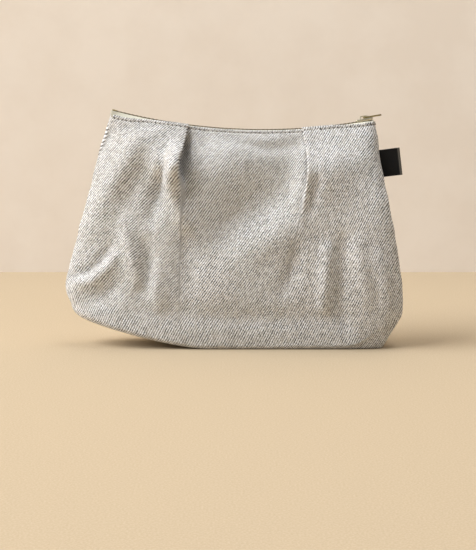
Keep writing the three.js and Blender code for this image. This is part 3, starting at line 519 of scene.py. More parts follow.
def cloth_lengths(theta, down, pull):
    """Length along each row from its middle, and down from the mouth, over the even surface."""
    places = np.linspace(-math.pi / 2, math.pi / 2, LENGTH_PLACES)
    points = surface_point(places[None], down[:, None], pull)
    along = lengths_along(points, 1)
    along -= along[:, [LENGTH_PLACES // 2]]
    fall = lengths_along(points, 0)
    rows = range(len(down))
    along = np.array([np.interp(theta[row], places, along[row]) for row in rows])
    fall = np.array([np.interp(theta[row], places, fall[row]) for row in rows])
    return along, fall


def column_weights():
    """How much each column belongs to the left flap and to the right flap."""
    pleat = 2 * (ARC_STEPS + 1) + RUN_STEPS - 1
    count = 2 * FLAP_COLUMNS + 2 * pleat + MIDDLE_COLUMNS - 1
    column = np.arange(count)
    left = 1 - smoothstep(column, FLAP_COLUMNS + ARC_STEPS, FLAP_COLUMNS + pleat - ARC_STEPS)
    return left, left[::-1]


def along_grain(along, weights):
    """Turns the cloth's threads so that they run beside the seams above the widest row."""
    left, right = weights
    above = np.arange(len(along))
    left_slack = np.where(above < along[:, 0].argmin(), along[:, 0].min() - along[:, 0], 0)
    right_slack = np.where(above < along[:, -1].argmax(), along[:, -1].max() - along[:, -1], 0)
    return along + GRAIN_TURN * (left_slack[:, None] * left + right_slack[:, None] * right)


def cloth_lift(point, theta, rows, folds, seed):
    """How far the cloth stands off its even shape: folds, soft ground and puckers at the seams."""
    x, z = point[..., 0], point[..., 2]
    on_wall = 1 - smoothstep(rows, *FOLD_FOOT)
    from_mouth = smoothstep(rows, *FOLD_START)
    from_seam = np.cos(theta) ** 0.5
    lift = fold_heights(x, z, folds) * on_wall * from_mouth * smoothstep(from_seam, *FOLD_SEAM_FADE)
    lift += ripples(x, z, seed, *SOFT_GROUND) * on_wall * from_mouth * from_seam
    fine = FINE_GROUND_AT_MOUTH + (1 - FINE_GROUND_AT_MOUTH) * from_mouth
    lift += ripples(x, z, seed + 1, *FINE_GROUND) * on_wall * fine
    beside_seam = np.exp(-((1 - np.abs(np.sin(theta))) / SEAM_PUCKER_REACH))
    pucker = ripples(0 * x, z, seed + 2, *SEAM_PUCKERS) * beside_seam
    return lift + pucker * on_wall * from_mouth


def rows_down(marks, counts):
    """Places down a panel, evenly spaced from each mark to the next."""
    spans = zip(marks, marks[1:], counts)
    rows = [np.linspace(start, end, count)[:-1] for start, end, count in spans]
    return np.concatenate([*rows, marks[-1:]])


def sculpted_panel(folds, seed):
    """The middle surface of one panel with its folds, its outward side, and its cloth lengths."""
    down = rows_down((0, MOUTH_SHARE, 1, 2, 3), PANEL_ROWS)
    theta, off = panel_columns(down)
    rows = np.repeat(down[:, None], theta.shape[1], axis=1)
    pull = 1 if folds is FRONT_FOLDS else -1
    point, normal = surface_frame(theta, rows, pull)
    middle = point + normal * off[..., None]
    lift = cloth_lift(middle, theta, rows, folds, seed)
    weights = column_weights()
    painted_pocket_shade = np.zeros_like(lift)
    if folds is FRONT_FOLDS:
        held = smoothstep(rows, *FOLD_START)
        x, z = middle[..., 0], middle[..., 2]
        lift += fold_heights(x, z, FLAP_FOLDS) * weights[0] * held
        lift += fold_heights(x, z, POCKET_FOLDS) * (1 - weights[0]) * held
        # Painted shade: the cloth beside and under the left flap is marked to be painted darker
        # along the pocket
        under_flap = np.arange(len(weights[0])) >= FLAP_COLUMNS + ARC_STEPS
        painted_pocket_shade = fold_heights(x, z, POCKET_PAINTED_SHADE) * under_flap
    middle = middle + normal * lift[..., None]
    facing = grid_normals(middle)
    centre = (slice(0, PANEL_ROWS[1] // 3), facing.shape[1] // 2)
    facing *= np.sign(np.sum(facing[centre] * normal[centre]))
    facing[:, [0, -1]] = normal[:, [0, -1]]
    facing = np.where((rows >= 2)[..., None], normal, facing)
    along, fall = cloth_lengths(theta, down, pull)
    return middle, facing, (along_grain(along, weights), fall), rows, painted_pocket_shade


def closed_cloth(middle, facing, half_outer, half_inner, roll_steps=ROLL_STEPS):
    """Outer face, a rolled edge at the mouth, and inner face, as one grid of rows."""
    outer = middle + facing * half_outer[..., None]
    inner = middle - facing * half_inner[..., None]
    centre = (outer[0] + inner[0]) / 2
    reach = (outer[0] - inner[0]) / 2
    up = unit(middle[0] - middle[1]) * np.linalg.norm(reach, axis=-1, keepdims=True)
    rolls = []
    for k in range(1, roll_steps):
        angle = math.pi * k / roll_steps
        rolls.append(centre + reach * math.cos(angle) + up * math.sin(angle))
    return np.concatenate([outer[::-1], np.array(rolls), inner], axis=0)


def with_settings(thing, **settings):
    for key, value in settings.items():
        setattr(thing, key, value)
    return thing


def placed(name, data):
    obj = bpy.data.objects.new(name, data)
    bpy.context.scene.collection.objects.link(obj)
    return obj


def shade_smooth(mesh):
    mesh.polygons.foreach_set("use_smooth", [True] * len(mesh.polygons))


def clean_mesh(mesh, flat_angle=None):
    """Merges doubled points, joins flat faces if asked, and turns the faces out."""
    bm = bmesh.new()
    bm.from_mesh(mesh)
    bmesh.ops.remove_doubles(bm, verts=bm.verts, dist=1e-6)
    if flat_angle is not None:
        bmesh.ops.dissolve_limit(bm, angle_limit=flat_angle, verts=bm.verts, edges=bm.edges)
    bmesh.ops.recalc_face_normals(bm, faces=bm.faces)
    bm.to_mesh(mesh)
    bm.free()


def cloth_object(name, points, faces, uvs):
    """A smooth closed mesh from a grid of points, with its cloth lengths as a UV map."""
    mesh = bpy.data.meshes.new(name)
    mesh.from_pydata([tuple(p) for p in points.reshape(-1, 3) * MM], [], faces)
    layer = mesh.uv_layers.new(name="cloth")
    loops = np.zeros(len(mesh.loops), int)
    mesh.loops.foreach_get("vertex_index", loops)
    flat = uvs.reshape(-1, 2)[loops] * MM
    layer.data.foreach_set("uv", flat.astype(np.float32).ravel())
    shade_smooth(mesh)
    clean_mesh(mesh)
    return placed(name, mesh)


def point_values(obj, name, values):
    made = obj.data.attributes.new(name, "FLOAT", "POINT")
    made.data.foreach_set("value", np.ravel(values))


def grid_faces(rows, columns, wrap_columns=False):
    faces = []
    for r in range(rows - 1):
        for c in range(columns if wrap_columns else columns - 1):
            r2, c2 = r + 1, (c + 1) % columns
            faces.append((r * columns + c, r * columns + c2, r2 * columns + c2, r2 * columns + c))
    return faces


def border_faces(rows, columns):
    """Closes the two side edges of a cloth whose outer and inner rows mirror each other."""
    faces = []
    for r in range(rows // 2):
        a, b = r, rows - 1 - r
        if b - a < 2:
            break
        for c, order in ((0, 1), (columns - 1, -1)):
            ring = [a * columns + c, (a + 1) * columns + c, (b - 1) * columns + c, b * columns + c]
            ring = list(dict.fromkeys(ring))
            faces.append(tuple(ring[::order]))
    return faces


def closed_panel(name, loop, lengths, side):
    """One panel as an object, from its closed rows and the lengths along and down one face."""
    count, width = loop.shape[:2]
    roll = count - 2 * len(lengths)
    loop[..., 1] *= -side
    faces = grid_faces(count, width) + border_faces(count, width)
    last = (count - 1) * width
    faces += [(c, c + 1, last + c + 1, last + c) for c in range(width - 1)]
    return cloth_object(name, loop, faces, both_faces(lengths, roll))


def both_faces(values, roll):
    """One face's values for a closed cloth: outer rows, rolled edge, inner rows."""
    return np.concatenate([values[::-1], np.repeat(values[:1], roll, axis=0), values], axis=0)


def hem_profile(down_mm):
    return sum(height * np.exp(-(((down_mm - place) / reach) ** 2))
               for place, reach, height in HEM_WAVES)


def cloth_piece(name, folds, seed, side):
    middle, facing, (along, down), rows, painted_pocket_shade = sculpted_panel(folds, seed)
    half = PANEL_THICK / 2
    outer = half + hem_profile(down) * (rows < HEM_END)
    loop = closed_cloth(middle, facing, outer, np.full_like(outer, half))
    obj = closed_panel(name, loop, np.stack([along, -down], axis=-1), side)
    # The pocket's painted shade goes with the mesh, for its material to darken the cloth there
    point_values(obj, "painted_pocket_shade", both_faces(painted_pocket_shade, len(loop) - 2 * len(middle)))
    return obj, (middle, facing, down)


def stitch_line(middle, facing, down, side):
    """The path of the topstitching over the outermost layers, left to right."""
    points = []
    for column in range(middle.shape[1]):
        row = int(np.argmin(np.abs(down[:, column] - STITCH_DROP)))
        if facing[row, column, 1] < STITCH_FACING:
            stand_off = facing[row, column] * (PANEL_THICK / 2 - THREAD_SINK)
            points.append(middle[row, column] + stand_off)
    points = np.array(points)
    keep = [0]
    for k in range(1, len(points)):
        if points[k, 0] > points[keep[-1], 0] + STITCH_STEP:
            keep.append(k)
    line = points[keep]
    line[:, 1] *= -side
    return line


def lining_piece(name, folds, seed, side):
    down = rows_down((LINING_START, 1, 2, 3), LINING_ROWS)
    columns = np.linspace(-math.pi / 2, math.pi / 2, LINING_COLUMNS)
    theta = np.repeat(columns[None], len(down), axis=0)
    rows = np.repeat(down[:, None], theta.shape[1], axis=1)
    point, normal = surface_frame(theta, rows, -side)
    x, z = point[..., 0], point[..., 2]
    sag = np.abs(ripples(x, z, seed + LINING_SEED_STEP, *LINING_SAGS))
    sag *= smoothstep(rows, *LINING_SAG_START) * (1 - smoothstep(rows, *LINING_SAG_END))
    sag *= np.cos(theta)
    lift = cloth_lift(point, theta, rows, folds, seed)
    if folds is FRONT_FOLDS:
        lift += fold_heights(x, z, POCKET_FOLDS) * smoothstep(rows, *FOLD_START)
    sag += LINING_CLEARANCE * np.maximum(0, -lift)
    middle = point - normal * (LINING_INSET + sag)[..., None]
    half = np.full(theta.shape, LINING_THICK / 2)
    loop = closed_cloth(middle, normal, half, half, roll_steps=2)
    along, fall = cloth_lengths(theta, down, -side)
    return closed_panel(name, loop, np.stack([along, -fall], axis=-1), side)


# Zip tapes

def row_spread(along):
    return ROW_SPREAD * smoothstep(along, SPREAD_START, SPREAD_END)


def tape_piece(name, side):
    """A woven ribbon from the teeth to the mouth of the panel, with a hem that hangs inside it."""
    along = np.linspace(ZIP_START - TAPE_END, ZIP_END, TAPE_STEPS)
    half = TAPE_THICK / 2
    at_mouth = chain_point(along, 0, 0)
    x = at_mouth[:, 0]
    drop = at_mouth[:, 2] - top_edge(x) - MOUTH_DROP
    mouth = np.abs(surface_point(theta_at(x, 0.0 * x), 0.0 * x)[:, 1])
    inner = TAPE_INNER + row_spread(along)
    lip = np.clip(mouth - PANEL_THICK / 2 - SEAM_GAP, inner + TAPE_MIN_WIDTH, TAPE_REACH + half)
    down = np.full_like(x, HEM_DOWN)
    point, normal = surface_frame(theta_at(x, down), down)
    inset = PANEL_THICK / 2 + SEAM_GAP
    run_out = smoothstep(off_middle(x), *TAPE_RUN_OUT)[:, None]

    def ribbon(share, up):
        """Across the ribbon: share 0 is beside the teeth, 1 at the lip."""
        fall = drop * LIP_FALL * smoothstep(share, 0, 1)
        return chain_point(along, side * (inner + (lip - inner) * share), up - fall)

    def hung(extra):
        inside = point - normal * (inset + extra)
        inside[:, 1] *= -side
        end = ribbon(1 - extra * TAPE_HEM_DRAW_IN, -TAPE_THICK)
        return inside * (1 - run_out) + end * run_out

    shares = np.linspace(0, 1, TAPE_SHARES)
    ring = [ribbon(share, -half) for share in shares[:-1]]
    ring += [ribbon(*TAPE_LIP_UNDER), hung(TAPE_THICK), hung(0), ribbon(*TAPE_LIP_OVER)]
    ring += [ribbon(share, half) for share in shares[::-1]]
    loop = np.stack(ring, axis=1)
    along_each = np.repeat(along[:, None], loop.shape[1], axis=1)
    uvs = np.stack([along_each, lengths_along(loop, 1)], axis=-1)
    count, width = loop.shape[:2]
    faces = grid_faces(count, width, wrap_columns=True)
    faces += [tuple(range(width)), tuple(range(count * width - 1, (count - 1) * width - 1, -1))]
    return cloth_object(name, loop, faces, uvs)


# Side tag: a folded woven tape with a soft loop at its fold

def seam_place(height):
    low, high = 0.0, 1.0
    for _ in range(40):
        middle = (low + high) / 2
        if smooth_curve(RIGHT_CURVE, np.array(middle))[1] > height:
            low = middle
        else:
            high = middle
    here = smooth_curve(RIGHT_CURVE, np.array(low))
    ahead = smooth_curve(RIGHT_CURVE, np.array(low + 1e-3))
    tilt = math.atan2(ahead[0] - here[0], here[1] - ahead[1])
    seam = surface_point(math.pi / 2, low, 1)
    return np.array([here[0] + PANEL_THICK / 2, seam[1], here[1]]), tilt


def tag_outline():
    """One side of the tape, round the fold and back, seen along the tag: x out, y away."""
    bend = TAG_REACH - TAG_LOOP_RADIUS
    root = TAG_TAPE + TAG_LAYER_GAP
    puff = TAG_LOOP_RADIUS - root
    near = [(-TAG_ROOT, -root), (TAG_PUFF_START, -root)]
    near.append((bend * TAG_PUFF_FROM, -root - TAG_LAYER_GAP))
    near += [(bend * s, -root - puff * smoothstep(s, TAG_PUFF_FROM, 1)) for s in TAG_PUFF_SHARES]
    turns = np.linspace(-math.pi / 2, math.pi / 2, TAG_LOOP_POINTS)
    fold = [(bend + TAG_LOOP_RADIUS * math.cos(a), TAG_LOOP_RADIUS * math.sin(a)) for a in turns]
    return np.array(near + fold + [(x, -y) for x, y in reversed(near)], float)


def tag_ring():
    """The outline and, inside it by the tape's thickness, the way back."""
    outline = tag_outline()
    ahead = np.roll(outline, -1, axis=0) - np.roll(outline, 1, axis=0)
    ahead[0] = (1, 0)
    ahead[-1] = (-1, 0)
    inward = unit(np.stack([-ahead[:, 1], ahead[:, 0]], axis=-1))
    inside = outline + inward * (TAG_TAPE - TAG_SEAM_OVERLAP)
    apart = np.sign(outline[:, 1]) * np.maximum(np.sign(outline[:, 1]) * inside[:, 1], TAG_APART)
    inside[:, 1] = np.where(outline[:, 1] == 0, inside[:, 1], apart)
    return np.concatenate([outline, inside[::-1]], axis=0), len(outline)


def tag_piece(name):
    ring, wall = tag_ring()
    out = ring[:, 0]
    steps = np.linspace(-TAG_WIDTH / 2, TAG_WIDTH / 2, TAG_ROWS)
    centre, tilt = seam_place(TAG_HEIGHT)
    rows = []
    for up in steps:
        bow = TAG_BOW * math.sin(up / TAG_WIDTH * TAG_BOW_TURN)
        y = ring[:, 1] + bow * smoothstep(out, 1, TAG_REACH)
        across = out * math.cos(tilt) - up * math.sin(tilt)
        rise = out * math.sin(tilt) + up * math.cos(tilt)
        rows.append(np.stack([centre[0] + across, centre[1] + y, centre[2] + rise], axis=-1))
    loop = np.array(rows)
    around = lengths_along(ring, 0)
    count, width = loop.shape[:2]
    faces = grid_faces(count, width, wrap_columns=True)
    for start in (0, (count - 1) * width):
        for k in range(wall - 1):
            faces.append((start + k, start + k + 1, start + width - 2 - k, start + width - 1 - k))
    obj = cloth_object(name, loop, faces, np.stack(np.meshgrid(around, steps), axis=-1))
    # Painted highlight: a lighter strip round the fold at the tag's outer end, where the ribbon
    # shines
    from_end = TAG_REACH - out
    painted_fold_highlight = smoothstep(-from_end, *TAG_PAINTED_HIGHLIGHT_START) * (1 - smoothstep(-from_end, *TAG_PAINTED_HIGHLIGHT_END))
    point_values(obj, "painted_fold_highlight", np.repeat(painted_fold_highlight[None], count, axis=0))
    return obj


# Node trees

class Nodes:
    """A short hand for building node trees."""

    def __init__(self, tree):
        self.tree = tree

    def node(self, kind, **settings):
        return with_settings(self.tree.nodes.new(kind), **settings)

    def feed(self, socket, value):
        if isinstance(value, bpy.types.NodeSocket):
            self.tree.links.new(value, socket)
        elif value is not None:
            socket.default_value = value

    def fed(self, kind, inputs, **settings):
        """The outputs of a new node whose inputs are fed by label or place."""
        made = self.node(kind, **settings)
        for label, value in inputs.items():
            self.feed(made.inputs[label], value)
        return made.outputs

    def math(self, operation, *values):
        return self.fed("ShaderNodeMath", dict(enumerate(values)), operation=operation)[0]

    def vector(self, operation, first, second):
        return self.fed("ShaderNodeVectorMath", {0: first, 1: second}, operation=operation)[0]

    def noise(self, vector, scale, detail=3, roughness=0.6, output="Fac"):
        inputs = {"Vector": vector, "Scale": scale, "Detail": detail, "Roughness": roughness}
        return self.fed("ShaderNodeTexNoise", inputs)[output]

    def chance(self, cell, dimensions, label):
        """A random number for each cell."""
        made = self.fed("ShaderNodeTexWhiteNoise", {label: cell}, noise_dimensions=dimensions)
        return made["Value"]

    def mix(self, share, first, second):
        inputs = {"Factor": share, "A": first, "B": second}
        return self.fed("ShaderNodeMix", inputs, data_type="RGBA")["Result"]

    def ramp(self, value, stops):
        labels = ("Value", "From Min", "From Max", "To Min", "To Max")
        return self.fed("ShaderNodeMapRange", dict(zip(labels, (value, *stops))), clamp=True)[0]

    def place(self):
        return self.node("ShaderNodeTexCoord").outputs["Object"]

    def attribute(self, name):
        return self.node("ShaderNodeAttribute", attribute_name=name).outputs["Fac"]


def node_group(name, kind, inputs, outputs, output_kind="Float"):
    """A group with its sockets, a short hand for its tree, and what it is given."""
    tree = bpy.data.node_groups.new(name, kind)
    for label, input_kind, value in inputs:
        socket = tree.interface.new_socket(
            label, in_out="INPUT", socket_type="NodeSocket" + input_kind)
        if value is not None:
            socket.default_value = value
    for label in outputs:
        tree.interface.new_socket(
            label, in_out="OUTPUT", socket_type="NodeSocket" + output_kind)
    return tree, Nodes(tree), tree.nodes.new("NodeGroupInput").outputs


# Stitches: one run of thread laid along a path by Geometry Nodes

def stitch_tree():
    tree, s, given = node_group("Stitch run", "GeometryNodeTree", [
        ("Path", "Geometry", None),
        ("Stitch Pitch", "Float", STITCH_PITCH * MM),
        ("Bead Length", "Float", STITCH_LENGTH * MM),
        ("Bead Radius", "Float", THREAD_RADIUS * MM),
        ("Bead Depth", "Float", THREAD_DEPTH * MM),
        ("Shift", "Float", 0.0),
        ("Material", "Material", None),
    ], ["Stitches"], "Geometry")
    tangent = s.node("GeometryNodeInputTangent").outputs[0]
    to_curve = s.fed("GeometryNodeMeshToCurve", {0: given["Path"]})
    resample = s.fed("GeometryNodeResampleCurve",
                     {"Curve": to_curve[0], "Length": given["Stitch Pitch"]}, mode="LENGTH")
    shift = s.fed("ShaderNodeVectorMath", {0: tangent, "Scale": given["Shift"]}, operation="SCALE")
    move = s.fed("GeometryNodeSetPosition", {"Geometry": resample[0], "Offset": shift[0]})
    turn = s.fed("FunctionNodeAlignRotationToVector", {"Vector": tangent}, axis="X")
    width = s.math("MULTIPLY", given["Bead Radius"], 2)
    size = s.fed("ShaderNodeCombineXYZ",
                 {"X": given["Bead Length"], "Y": given["Bead Depth"], "Z": width})
    bead = s.fed("GeometryNodeMeshUVSphere", {"Segments": 8, "Rings": 6, "Radius": 0.5})
    scatter = s.fed("GeometryNodeInstanceOnPoints",
                    {"Points": move[0], "Instance": bead["Mesh"], "Rotation": turn[0],
                     "Scale": size[0]})
    realize = s.fed("GeometryNodeRealizeInstances", {0: scatter[0]})
    paint = s.fed("GeometryNodeSetMaterial",
                  {"Geometry": realize[0], "Material": given["Material"]})
    s.fed("NodeGroupOutput", {0: paint[0]})
    return tree


def baked(obj):
    """The mesh of an object with its modifiers applied."""
    bpy.context.view_layer.update()
    depsgraph = bpy.context.evaluated_depsgraph_get()
    mesh = bpy.data.meshes.new_from_object(obj.evaluated_get(depsgraph))
    obj.modifiers.clear()
    shade_smooth(mesh)
    return mesh


def stitched(name, line, tree, **values):
    mesh = bpy.data.meshes.new(name + "_path")
    mesh.from_pydata([tuple(p * MM) for p in line], [(k, k + 1) for k in range(len(line) - 1)], [])
    path = placed(name + "_path", mesh)
    modifier = path.modifiers.new("stitches", "NODES")
    modifier.node_group = tree
    for item in tree.interface.items_tree:
        if item.in_out == "INPUT" and item.name in values:
            modifier[item.identifier] = values[item.name]
    run = baked(path)
    bpy.data.objects.remove(path)
    return placed(name, run)


# Metal pieces: the solid model's shape with its edges eased

def eased(node, width_mm, name):
    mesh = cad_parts[node].data.copy()
    mesh.name = name
    clean_mesh(mesh, flat_angle=math.radians(2))
    obj = placed(name, mesh)
    with_settings(obj.modifiers.new("eased edges", "BEVEL"), width=width_mm * MM, segments=3,
                  limit_method="ANGLE", angle_limit=math.radians(30), harden_normals=True)
    obj.data = baked(obj)
    return obj


# Materials

def linear(red, green, blue):
    """A colour written as it looks on screen, 0 to 255, as Blender's linear numbers."""
    def one(value):
        value /= 255
        return value / 12.92 if value <= 0.04045 else ((value + 0.055) / 1.055) ** 2.4
    return (one(red), one(green), one(blue), 1)


def twill_weave():
    """Diagonal ribs broken into yarns. Slant is the ribs' angle, Pitch their spacing."""
    tree, s, given = node_group("Twill weave", "ShaderNodeTree", [
        ("Cloth", "Vector", None),
        ("Pitch", "Float", RIB_PITCH),
        ("Slant", "Float", RIB_SLANT),
        ("Dash", "Float", YARN_LENGTH),
    ], ["Rib", "Yarn", "Fleck", "Slub"])
    wobble = s.noise(given["Cloth"], 260, 2, 0.5, "Color")
    centred = s.vector("SUBTRACT", wobble, (0.5, 0.5, 0.5))
    small = s.fed("ShaderNodeVectorMath",
                  {0: centred, "Scale": s.math("MULTIPLY", given["Pitch"], 0.45)},
                  operation="SCALE")[0]
    place = s.vector("ADD", given["Cloth"], small)
    x, y, _ = s.fed("ShaderNodeSeparateXYZ", {0: place})
    cosine = s.math("COSINE", given["Slant"])
    sine = s.math("SINE", given["Slant"])
    across = s.math("SUBTRACT", s.math("MULTIPLY", y, cosine), s.math("MULTIPLY", x, sine))
    along = s.math("ADD", s.math("MULTIPLY", x, cosine), s.math("MULTIPLY", y, sine))
    lane = s.math("DIVIDE", across, given["Pitch"])
    row = s.math("FLOOR", lane)
    dash = s.math("ADD", s.math("DIVIDE", along, given["Dash"]), s.chance(row, "1D", "W"))
    cell = s.fed("ShaderNodeCombineXYZ", {"X": row, "Y": s.math("FLOOR", dash)})[0]
    picks = s.math("DIVIDE", along, s.math("MULTIPLY", given["Pitch"], 0.9))
    between_ribs = s.math("FLOOR", s.math("ADD", lane, 0.5))
    crossing = s.fed("ShaderNodeCombineXYZ", {"X": between_ribs, "Y": s.math("FLOOR", picks)})[0]
    wave = s.math("SINE", s.math("MULTIPLY", s.math("FRACT", lane), math.pi))
    crown = s.math("SINE", s.math("MULTIPLY", s.math("FRACT", dash), math.pi))
    s.fed("NodeGroupOutput", {
        "Rib": s.math("MULTIPLY", wave, s.math("MULTIPLY_ADD", crown, 0.4, 0.6)),
        "Yarn": s.chance(cell, "2D", "Vector"),
        "Fleck": s.chance(crossing, "2D", "Vector"),
        "Slub": s.noise(given["Cloth"], 90, 4),
    })
    return tree


def plain_weave():
    """A fine over-and-under weave. Threads is how many there are to the metre."""
    tree, s, given = node_group("Plain weave", "ShaderNodeTree", [
        ("Cloth", "Vector", None),
        ("Threads", "Float", 1600.0),
    ], ["Height", "Mottle"])
    x, y, _ = s.fed("ShaderNodeSeparateXYZ", {0: given["Cloth"]})
    turned = [
        s.math("SINE", s.math("MULTIPLY", s.math("MULTIPLY", part, math.pi), given["Threads"]))
        for part in (x, y)
    ]
    s.fed("NodeGroupOutput", {
        "Height": s.math("MULTIPLY_ADD", s.math("MULTIPLY", *turned), 0.5, 0.5),
        "Mottle": s.noise(given["Cloth"], 400, 3),
    })
    return tree


def patina():
    """Uneven tarnish and fine scratches on plated metal."""
    tree, s, given = node_group("Patina", "ShaderNodeTree", [
        ("Place", "Vector", None),
    ], ["Tarnish", "Scratch"])
    stretched = s.fed("ShaderNodeMapping", {"Vector": given["Place"], "Scale": (1, 14, 14)})[0]
    s.fed("NodeGroupOutput", {
        "Tarnish": s.ramp(s.noise(given["Place"], 420, 5), (0.35, 0.7, 0, 1)),
        "Scratch": s.noise(stretched, 380, 2),
    })
    return tree


TWILL = twill_weave()
WEAVE = plain_weave()
PATINA = patina()


def material(name):
    made = bpy.data.materials.new(name)
    made.use_nodes = True
    return made, Nodes(made.node_tree), made.node_tree.nodes["Principled BSDF"]


def surface(s, bsdf, **inputs):
    """Feeds the shader's inputs, written with _ for a space."""
    for label, value in inputs.items():
        s.feed(bsdf.inputs[label.replace("_", " ")], value)


def use_group(s, tree, **inputs):
    return s.fed("ShaderNodeGroup", inputs, node_tree=tree)


def bump(s, height, distance, strength):
    inputs = {"Height": height, "Distance": distance, "Strength": strength}
    return s.fed("ShaderNodeBump", inputs)[0]


def cloth_coordinates(s):
    return s.node("ShaderNodeUVMap", uv_map="cloth").outputs[0]


def heather_twill():
    made, s, bsdf = material("heathered twill")
    cloth = cloth_coordinates(s)
    weave = use_group(s, TWILL, Cloth=cloth)
    light = linear(243, 244, 246)
    grey = linear(208, 207, 205)
    warm = linear(222, 217, 211)
    dark = linear(42, 38, 33)
    pale = linear(164, 160, 154)
    # Painted shade: the cloth is painted towards this colour in the left pleat's pocket, where the
    # mesh marks it
    deep = linear(70, 64, 56)
    yarn = s.mix(s.ramp(weave["Yarn"], (0.0, 0.8, 0, 1)), grey, light)
    yarn = s.mix(s.ramp(weave["Slub"], (0.5, 0.8, 0, 0.4)), yarn, warm)
    valley = s.mix(s.ramp(weave["Fleck"], (0.3, 0.75, 0, 1)), pale, dark)
    base = s.mix(s.ramp(weave["Rib"], (0.28, 0.7, 0, 1)), valley, yarn)
    fuzz = s.math("MULTIPLY_ADD", s.noise(cloth, 1500, 2), 0.35, weave["Rib"])
    surface(s, bsdf, Base_Color=s.mix(s.attribute("painted_pocket_shade"), base, deep), Roughness=0.93,
            Sheen_Weight=0.12, Sheen_Roughness=0.6, Specular_IOR_Level=0.2,
            Normal=bump(s, fuzz, 0.0004, 0.75))
    return made


def woven(name, colour, shade, threads, distance, roughness=0.85, sheen=0.1, painted_fold_highlight=None):
    made, s, bsdf = material(name)
    weave = use_group(s, WEAVE, Cloth=cloth_coordinates(s), Threads=threads)
    base = s.mix(s.ramp(weave["Height"], (0.2, 0.8, 0, 1)), shade, colour)
    base = s.mix(s.ramp(weave["Mottle"], (0.4, 0.7, 0, 0.3)), base, shade)
    # Painted highlight, where the mesh marks it
    if painted_fold_highlight is not None:
        base = s.mix(s.attribute("painted_fold_highlight"), base, painted_fold_highlight)
    surface(s, bsdf, Base_Color=base, Roughness=roughness, Sheen_Weight=sheen,
            Specular_IOR_Level=0.25, Normal=bump(s, weave["Height"], distance, 0.7))
    return made


def plated(name, colour, tarnished, roughness):
    made, s, bsdf = material(name)
    worn = use_group(s, PATINA, Place=s.place())
    rough = s.math("MULTIPLY_ADD", worn["Scratch"], 0.25, roughness - 0.1)
    surface(s, bsdf, Base_Color=s.mix(worn["Tarnish"], colour, tarnished), Metallic=1,
            Roughness=rough, Normal=bump(s, worn["Scratch"], 0.00004, 0.4))
    return made


def thread_material():
    made, s, bsdf = material("sewing thread")
    twist = s.fed("ShaderNodeTexWave", {"Vector": s.place(), "Scale": 900},
                  wave_type="BANDS", bands_direction="DIAGONAL")["Fac"]
    surface(s, bsdf, Base_Color=s.mix(twist, linear(176, 170, 160), linear(226, 222, 214)),
            Roughness=0.7, Normal=bump(s, twist, 0.00005, 0.5))
    return made


# Painted shade: dark matte beads laid between the stitches stand for the shade inside the needle
# holes
def needle_hole_shade_material():
    made, s, bsdf = material("needle holes")
    surface(s, bsdf, Base_Color=linear(48, 43, 37), Roughness=1, Specular_IOR_Level=0)
    return made


def paint(obj, made):
    obj.data.materials.clear()
    obj.data.materials.append(made)


def settle(obj, made, body, slot_name, *nodes):
    """Gives a finished piece its material and body, and hides the solid model's parts that it
    replaces.
    """
    if made is not None:
        paint(obj, made)
    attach(obj, body)
    if nodes:
        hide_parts(*nodes)


# Camera, light and room

def camera():
    data = bpy.data.cameras.new("camera")
    obj = placed("camera", with_settings(data, lens=CAMERA_LENS, sensor_width=36))
    obj.location = CAMERA_PLACE
    obj.rotation_euler = (math.radians(90 - CAMERA_TILT), 0, 0)
    bpy.context.scene.camera = obj


def lamp(name, place, aim, size, power):
    data = bpy.data.lights.new(name, "AREA")
    obj = placed(name, with_settings(data, shape="DISK", size=size, energy=power))
    obj.location = place
    obj.rotation_euler = (Vector(aim) - Vector(place)).to_track_quat("-Z", "Y").to_euler()


def stage_plane(name, low, high, made):
    """A sheet between two corners."""
    mesh = bpy.data.meshes.new(name)
    corners = [low, (high[0], *low[1:]), high, (low[0], *high[1:])]
    mesh.from_pydata(corners, [], [(0, 1, 2, 3)])
    mesh.materials.append(made)
    placed(name, mesh)


def paper(name, colour, shade, scale):
    made, s, bsdf = material(name)
    grain = s.ramp(s.noise(s.place(), scale, 4), (0.4, 0.62, 0, 1))
    surface(s, bsdf, Base_Color=s.mix(grain, shade, colour), Roughness=0.95,
            Specular_IOR_Level=0.1)
    return made, s, bsdf


def room():
    table, _, _ = paper("table paper", linear(197, 180, 154), linear(188, 170, 143), 900)
    wall, s, bsdf = paper("wall paper", linear(236, 226, 214), linear(232, 221, 208), 12)
    behind = s.node("ShaderNodeNewGeometry").outputs["Backfacing"]
    hidden = s.node("ShaderNodeBsdfTransparent").outputs[0]
    seen = s.fed("ShaderNodeMixShader", {0: behind, 1: bsdf.outputs[0], 2: hidden})[0]
    s.feed(wall.node_tree.nodes["Material Output"].inputs["Surface"], seen)
    reach, back, high = 6.0, 0.426, 4.0
    stage_plane("table", (-reach, -reach, 0), (reach, reach, 0), table)
    stage_plane("backdrop", (-reach, back, 0), (reach, back, high), wall)
    world = bpy.data.worlds.new("studio")
    bpy.context.scene.world = world
    world.use_nodes = True
    sky = world.node_tree.nodes["Background"]
    sky.inputs["Color"].default_value = (0.97, 0.98, 1.0, 1)
    sky.inputs["Strength"].default_value = 0.16
    lamp("key", (-2.66, -0.95, 2.56), (0, 0, 0.08), 3.4, 201)
    lamp("fill", (1.1, -1.9, 1.3), (0, 0, 0.08), 2.4, 5.2)
    lamp("backdrop", (0.35, 0.0, 1.5), (0.4, back, 0.3), 0.8, 6)


camera()
room()

twill = heather_twill()
lining_cloth = woven("lining cotton", linear(214, 210, 201), linear(186, 181, 171), 2000, 0.0001)
tape_cloth = woven("zip tape weave", linear(226, 224, 210), linear(196, 194, 178), 1700, 0.00015)
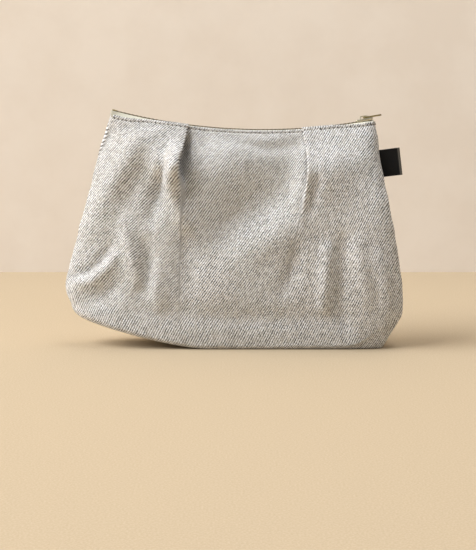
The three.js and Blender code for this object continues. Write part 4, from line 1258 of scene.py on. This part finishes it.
# The tag's last colour is its painted highlight, round the fold
tag_cloth = woven("tag ribbon", linear(15, 15, 15), linear(5, 5, 5), 2400, 0.0001, 0.75, 0.03,
                  linear(96, 94, 89))
brass = plated("antique brass", linear(190, 176, 128), linear(120, 106, 68), 0.32)
# A lighter copy of the antique brass for the slider: partly its paler plating, partly painted
# reflection of the bright room
pale_brass_painted_reflection = plated("pale brass with painted reflection", linear(236, 232, 214), linear(190, 182, 152), 0.28)
teeth_brass = plated("teeth brass", linear(128, 118, 88), linear(58, 52, 38), 0.45)
thread = thread_material()
painted_hole_shade = needle_hole_shade_material()
stitches = stitch_tree()

front, front_edge = cloth_piece("front_cloth", FRONT_FOLDS, NOISE_SEED, -1)
settle(front, twill, "pouch", "twill", "front_panel")
back, back_edge = cloth_piece("back_cloth", BACK_FOLDS, BACK_SEED, 1)
settle(back, twill, "pouch", "twill", "back_panel")

thread_run = {"Material": thread}
# Painted shade of the needle holes, laid halfway between the stitches
hole_run = {
    "Material": painted_hole_shade,
    "Shift": STITCH_PITCH * MM / 2,
    "Bead Length": HOLE_LENGTH * MM,
    "Bead Radius": HOLE_RADIUS * MM,
    "Bead Depth": HOLE_DEPTH * MM,
}
for name, edge, side in (("front", front_edge, -1), ("back", back_edge, 1)):
    line = stitch_line(*edge, side)
    for kind, values in (("_topstitch", thread_run), ("_painted_hole_shade", hole_run)):
        settle(stitched(name + kind, line, stitches, **values), None, "pouch", "lining")

front_inner = lining_piece("front_inner", FRONT_FOLDS, NOISE_SEED, -1)
settle(front_inner, lining_cloth, "pouch", "lining", "front_lining")
back_inner = lining_piece("back_inner", BACK_FOLDS, BACK_SEED, 1)
settle(back_inner, lining_cloth, "pouch", "lining", "back_lining")
settle(tape_piece("front_tape", -1), tape_cloth, "pouch", "zip_tape", "zip_tape_front")
settle(tape_piece("back_tape", 1), tape_cloth, "pouch", "zip_tape", "zip_tape_back")
settle(tag_piece("tag_loop"), tag_cloth, "pouch", "tag_tape", "side_tag")

# The slider body takes the lighter brass, which holds painted reflection
slider = eased("zip_slider", 0.14, "slider_body")
settle(slider, pale_brass_painted_reflection, "slider", "antique_brass", "zip_slider")
settle(eased("pull_tab", 0.16, "pull"), brass, "pull", "antique_brass", "pull_tab")
for node in ("zip_bottom_stop", "zip_top_stop_front", "zip_top_stop_back"):
    settle(eased(node, 0.08, node + "_clip"), brass, "pouch", "antique_brass", node)
for node in ("zip_teeth_front", "zip_teeth_back"):
    paint(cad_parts[node], teeth_brass)

bpy.context.scene.view_settings.view_transform = "Standard"
